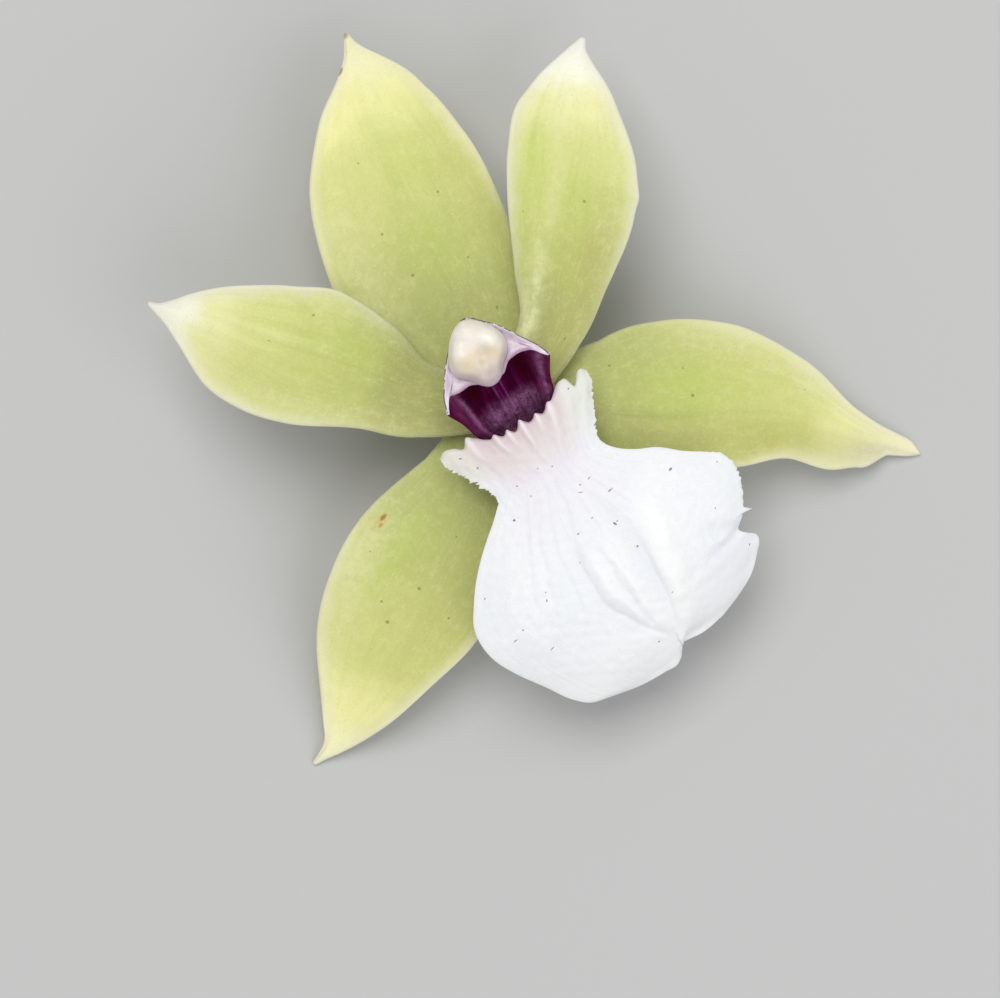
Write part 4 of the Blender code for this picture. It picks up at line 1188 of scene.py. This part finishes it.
def column_faces():
    """Quads up the column's side, the hood between its back and front, and a fan under its foot."""
    count = 2 * COLUMN_SIDE_POINTS
    side = np.arange(COLUMN_ROWS * count).reshape(COLUMN_ROWS, count)
    inner = side.size + np.arange(HOOD_ROWS * (COLUMN_SIDE_POINTS - 2)).reshape(HOOD_ROWS, -1)
    back, front = side[-1, :COLUMN_SIDE_POINTS], side[-1, COLUMN_SIDE_POINTS:][::-1]
    hood = np.concatenate((back[None, 1:-1], inner, front[None, 1:-1]))
    faces = grid_faces(side, closed=True) + grid_faces(hood)
    for end in (0, -1):  # each wing tip is closed by a fan
        edge = [int(point) for point in hood[:, end]] + [int(front[end])]
        faces += [(int(back[end]), start, stop) for start, stop in zip(edge[:-1], edge[1:])]
    return faces + fan_faces(side[0], int(side.size + inner.size))


def column_side_masks(side, shares):
    """What each point of the column's side belongs to, for its colours."""
    places = np.arange(side.shape[1])[None, :]
    from_wing = np.minimum(places, COLUMN_SIDE_POINTS - 1 - places)  # points from the nearer wing
    plain = np.zeros(side.shape[:2])
    height = shares[:, None] + plain
    near_wing = 1.0 - smoothstep(6.0, 16.0, from_wing)
    front = np.where(places >= COLUMN_SIDE_POINTS, 1.0, near_wing) + plain
    front[-1] = 0.0
    rim = plain.copy()
    rim[-1] = 1.0
    outer_edge = plain.copy()
    outer_edge[-4:, :COLUMN_SIDE_POINTS] = np.array((0.35, 0.55, 0.8, 1.0))[:, None]
    reach = np.abs(side[..., 0])
    lateral = side[..., 0] / reach.max(axis=1, keepdims=True)
    streak = sum(size * hump(lateral, place, width) for place, width, size in COLUMN_STREAKS)
    return {
        "front": front, "hood": rim, "height": height, "lateral": lateral, "outer_edge": outer_edge,
        # the hollow mask is painted shade in the face's two hollows
        "inner_rim": plain, "hollow": hump(reach, 2.5, 1.2) * hump(height, 0.66, 0.26) * front,
        "crease": plain, "streak": streak * front,
    }


def column_hood_masks(hood, from_front, from_back):
    """The same for the points of the hood, from their distances to its front and back rims."""
    empty = np.zeros(hood.shape[:2])
    reach = np.abs(hood[..., 0])
    # a dark crease slants across each wing of the hood
    from_crease = hood[..., 1] - (3.75 - 1.1 * (reach - 3.75))
    return {
        "front": empty, "hood": empty + 1.0, "height": empty + 1.0,
        "lateral": hood[..., 0] / HOOD_HALF_WIDTH, "outer_edge": smoothstep(0.2, 0.1, from_back),
        "inner_rim": smoothstep(0.5, 0.1, from_front) * smoothstep(4.5, 3.9, reach),
        "hollow": empty, "crease": hump(from_crease, 0.0, 0.09) * hump(reach, 3.7, 0.4),
        "streak": empty,
    }


def add_column(material):
    """The column with its wings, hollow face and the hood round the anther cap's seat."""
    shares = np.linspace(0.0, 1.0, COLUMN_ROWS)
    side = np.array([column_ring(share, *table_curve(COLUMN_SECTIONS, share)) for share in shares])
    back, front = side[-1, 1:COLUMN_SIDE_POINTS - 1], side[-1, COLUMN_SIDE_POINTS + 1:-1][::-1]
    part = 0.5 - 0.5 * np.cos(np.pi * np.linspace(0.0, 1.0, HOOD_ROWS + 2))[1:-1, None]
    hood = back + (front - back) * part[..., None]
    width = np.linalg.norm(back - front, axis=1)
    from_front, from_back = (1.0 - part) * width, part * width
    dish = table_curve(HOOD_DISH, np.minimum(from_front, from_back))
    hood[..., 2] = COLUMN_TOP + hood_height(hood[..., 1]) - dish

    on_hood = column_hood_masks(hood, from_front, from_back)
    masks = {
        key: np.concatenate((on_side.ravel(), on_hood[key].ravel(), (0.0,)))
        for key, on_side in column_side_masks(side, shares).items()
    }
    points = np.concatenate((side.reshape(-1, 3), hood.reshape(-1, 3), side[:1].mean(axis=1)))
    return add_piece("column_body", points, column_faces(), masks, material, "column")


# The anther cap's outline seen from above, anticlockwise from its right side
CAP_OUTLINE = (
    (2.6, 5.3), (2.45, 6.0), (2.0, 6.85), (1.35, 7.6), (0.65, 8.15), (0.0, 8.35), (-0.75, 8.15),
    (-1.75, 7.4), (-2.35, 6.65), (-2.75, 6.0), (-3.0, 5.25), (-2.95, 4.55), (-2.5, 3.95),
    (-1.95, 3.4), (-1.4, 2.65), (-0.75, 2.15), (-0.05, 2.1), (0.6, 2.4), (1.1, 3.0), (1.7, 3.6),
    (2.2, 4.05), (2.5, 4.6),
)
# Swellings of the cap: x, y, radius and height
CAP_SWELLINGS = (
    (-1.55, 5.6, 1.1, 0.75), (1.45, 5.35, 0.95, 0.65), (0.05, 7.1, 1.2, 0.35),
    (0.25, 5.0, 0.6, -0.35), (-0.05, 4.1, 0.55, -0.25), (-0.6, 6.3, 0.6, -0.15),
    (-0.1, 3.0, 0.7, -0.15),
)
# Colours of the cap: kind, x, y, radius and strength. The brightest kind is painted highlight on
# the lobes, the dark tan one painted shade in the dip between them, and the beak's lilac-grey
# partly its own tint and partly painted shade.
CAP_TONES = (
    ("lobe", -1.45, 4.7, 1.15, 1.0), ("lobe", 1.0, 4.5, 0.85, 1.0), ("lobe", -0.3, 5.0, 0.9, 0.7),
    ("saddle", 0.25, 4.95, 0.5, 0.6), ("saddle", -0.2, 4.3, 0.35, 0.7),
    ("bright", -1.65, 6.1, 0.55, 1.0), ("bright", 1.3, 5.85, 0.7, 1.0),
    ("beak", 0.0, 2.9, 1.1, 1.0), ("beak", -1.2, 3.4, 0.7, 0.8),
)
CAP_RISE = 1.3  # how high its dome stands, millimetres
CAP_TUCK = 0.35  # how far its rim dips into the hood
CAP_INNER_WIDTH = 0.82  # its hollow inside, as shares of its width and height
CAP_INNER_HEIGHT = 0.72


def cap_masks(x, y, reach):
    """Where each of the cap's colours lies, with a band of painted shade along its rim by the beak.
    """
    masks = {kind: 0.0 * x for kind in ("lobe", "saddle", "bright", "beak")}
    for kind, tone_x, tone_y, size, strength in CAP_TONES:
        tone = strength * hump(np.hypot(x - tone_x, y - tone_y), 0.0, size)
        masks[kind] = np.maximum(masks[kind], tone)
    masks["skirt"] = np.clip((reach - 0.72) / 0.24, 0.0, 1.0) * smoothstep(5.4, 3.8, y)
    return masks


def cap_height(x, y, reach):
    """How high the cap stands above its seat: a dome with its swellings, low at the beak."""
    swell = sum(
        size * hump(np.hypot(x - swell_x, y - swell_y), 0.0, radius)
        for swell_x, swell_y, radius, size in CAP_SWELLINGS
    )
    beak = 1.0 - smoothstep(2.6, 4.2, y)
    height = (CAP_RISE + swell - 0.45 * beak) * np.sqrt(np.clip(1.0 - reach ** 4.0, 0.0, 1.0))
    return height - CAP_TUCK * smoothstep(7.8, 6.6, y) * smoothstep(0.8, 1.0, reach)


def cap_shell(x, y, height):
    """Points this high above the cap's seat."""
    return np.stack((x, y, COLUMN_TOP + hood_height(y) + SEAT_GAP + height), axis=2)


def add_anther_cap(material):
    """The anther cap: a thin dome with two soft lobes and a beak, open below."""
    outline = np.array(CAP_OUTLINE) - (0.0, HOOD_MIDDLE_Y)
    angles = np.unwrap(np.arctan2(outline[:, 1], outline[:, 0]))
    turns = np.concatenate((angles - math.tau, angles, angles + math.tau))
    angle = np.linspace(0.0, math.tau, CAP_SIDES, endpoint=False)
    radius = smooth_curve(turns, np.tile(np.hypot(outline[:, 0], outline[:, 1]), 3), angle)
    reach = np.linspace(1.0, 0.02, CAP_RINGS)[:, None] ** 0.8
    x = radius * np.cos(angle) * reach
    from_middle = radius * np.sin(angle) * reach
    y = HOOD_MIDDLE_Y + from_middle
    height = cap_height(x, y, reach)
    outside = cap_shell(x, y, height)
    inside = cap_shell(
        x * CAP_INNER_WIDTH, HOOD_MIDDLE_Y + from_middle * CAP_INNER_WIDTH,
        height * CAP_INNER_HEIGHT,
    )
    masks = {
        key: np.concatenate((mask[::-1], mask)) for key, mask in cap_masks(x, y, reach).items()
    }
    rings = np.concatenate((outside[::-1], inside))
    return add_tube("anther_cap_dome", rings, masks, material, "anther_cap")


# ---------------------------------------------------------------- ovary and pedicel


def stalk_frames(places):
    """The stalk's middle points and radii at the places, with two directions across it."""
    path = np.array([point for point, _ in STALK])
    radii = np.array([radius for _, radius in STALK])
    lengths = np.linalg.norm(np.diff(path, axis=0), axis=1)
    knots = np.concatenate(((0.0,), np.cumsum(lengths))) / lengths.sum()
    along = unit(path_steps(knots, path, places))
    up = unit(np.cross(along, (1.0, 0.0, 0.0)))
    return smooth_curve(knots, path, places), smooth_curve(knots, radii, places), along, up


def stalk_reach(row, angle, radius, ribs, groove):
    """How far the stalk's skin lies from its middle line: ribbed, uneven, its end edges rounded."""
    dents = uneven(angle * 2.0 * radius, row * 45.0, seed=21, size=5.0)
    skin = 1.0 - 0.012 * (1.0 + dents) / 2.0
    end_round = np.minimum(1.0, 0.93 + 0.07 * np.minimum(row, 1.0 - row) / 0.008)
    return radius * (1.0 - GROOVE_DEPTH * ribs * groove) * skin * end_round


def on_stalk(mask, on_end):
    """The mask down the stalk's rings, then one number for the rings of its cut end."""
    on_rings = np.broadcast_to(mask, (STALK_ROWS, STALK_SIDES))
    return np.concatenate((on_rings, np.full((len(CUT_END_RINGS), STALK_SIDES), on_end)))


def add_stalk(material):
    """The receptacle, ribbed ovary and pedicel, with a cut end."""
    places = np.linspace(0.0, 1.0, STALK_ROWS)
    centre, radius, along, up = stalk_frames(places)
    angle = np.linspace(0.0, math.tau, STALK_SIDES, endpoint=False)[None, :]
    row = places[:, None]
    ribs = hump(row, 0.28, 0.17)
    groove = (1.0 - np.cos(RIB_COUNT * angle)) / 2.0
    reach = stalk_reach(row, angle, radius[:, None], ribs, groove)[..., None]
    across = np.cross(up, along)
    spokes = np.cos(angle)[..., None] * across[:, None] + np.sin(angle)[..., None] * up[:, None]
    rings = centre[:, None, :] + reach * spokes
    end = [
        centre[-1] + (rings[-1] - centre[-1]) * scale - along[-1] * sink
        for scale, sink in CUT_END_RINGS
    ]
    rings = np.concatenate((rings, end))
    every = np.ones(rings.shape[:2])
    masks = {
        "along": on_stalk(row, 1.0), "groove": on_stalk(groove * ribs, 0.0),
        "cut": on_stalk(0.0, 1.0), "around_x": np.cos(angle) * every,
        "around_y": np.sin(angle) * every,
    }
    return add_tube("stalk", rings, masks, material, "ovary_pedicel")


# ---------------------------------------------------------------- stage, lights and camera

VIEW_CENTRE = (-5.1, -6.8)  # where the camera points, flower frame
VIEW_DISTANCE = 400.0  # from the camera to the view plane, millimetres
VIEW_PLANE = 2.0  # its height in the flower frame
VIEW_WIDTH = 90.0  # how much of it the picture shows from side to side
VIEW_ROLL = -31.0  # degrees
SENSOR_WIDTH = 36.0
WORLD_STRENGTH = 0.42
# Square soft lights: name, place, width, power and colour
LIGHTS = (
    ("key", (0.04, 0.3, 0.72), 0.45, 3.05, (1.0, 0.99, 0.97)),
    ("fill", (0.12, -0.45, 0.5), 0.6, 1.55, (0.96, 0.98, 1.0)),
)


def add_stage():
    """A plain pale floor that the flower lies on."""
    mesh = bpy.data.meshes.new("floor")
    bm = bmesh.new()
    bmesh.ops.create_grid(bm, x_segments=1, y_segments=1, size=3.0)
    bm.to_mesh(mesh)
    bm.free()
    paper = Graph(
        "floor_paper", Base_Color=srgb(198, 198, 198), Roughness=0.8, Specular_IOR_Level=0.0,
    )
    mesh.materials.append(paper.material)
    add_object("floor", mesh)


def add_lights():
    """A big soft key from the dorsal side, a weak fill and an even world."""
    for name, place, width, power, colour in LIGHTS:
        data = bpy.data.lights.new(name, "AREA")
        data.size = width
        data.energy = power
        data.color = colour
        light = add_object(name, data)
        light.location = place
        aim = Vector((0.0, 0.0, 0.01)) - Vector(place)
        light.rotation_euler = aim.to_track_quat("-Z", "Y").to_euler()
    world = bpy.data.worlds.new("studio")
    world.use_nodes = True
    background = world.node_tree.nodes["Background"]
    background.inputs["Color"].default_value = (1.0, 1.0, 1.0, 1.0)
    background.inputs["Strength"].default_value = WORLD_STRENGTH
    bpy.context.scene.world = world


def add_camera():
    """Looks straight down on the flower's face, turned as the flower hangs on its stem."""
    data = bpy.data.cameras.new("camera")
    data.sensor_width = SENSOR_WIDTH
    data.lens = SENSOR_WIDTH * VIEW_DISTANCE / VIEW_WIDTH
    data.clip_end = 20.0
    camera = add_object("camera", data)
    camera.location = to_part_frame((*VIEW_CENTRE, VIEW_PLANE + VIEW_DISTANCE))
    camera.rotation_euler = (0.0, 0.0, math.radians(VIEW_ROLL))
    bpy.context.scene.camera = camera


# ---------------------------------------------------------------- the flower


def add_tepals():
    """The three sepals and the two petals."""
    for seed, (node, shape) in enumerate(TEPALS.items(), start=1):
        kind = "petal" if node.startswith("petal") else "sepal"
        thickness, margin, tones = TEPAL_KINDS[kind]
        material = tepal_material(
            f"{node}_tissue", tones, margin, float(seed), shape["specks"], BLEMISHES.get(node, ()),
        )
        add_tepal(node, shape, thickness, material, seed)


def main():
    """Adds the flower's pieces, the floor, the lights and the camera."""
    bpy.context.scene.view_settings.view_transform = "Standard"
    add_tepals()
    add_lip(lip_material())
    add_column(column_material())
    add_anther_cap(cap_material())
    add_stalk(stalk_material())
    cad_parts["pollinarium"].material_slots[0].material = pollinium_material()
    add_stage()
    add_lights()
    add_camera()


main()
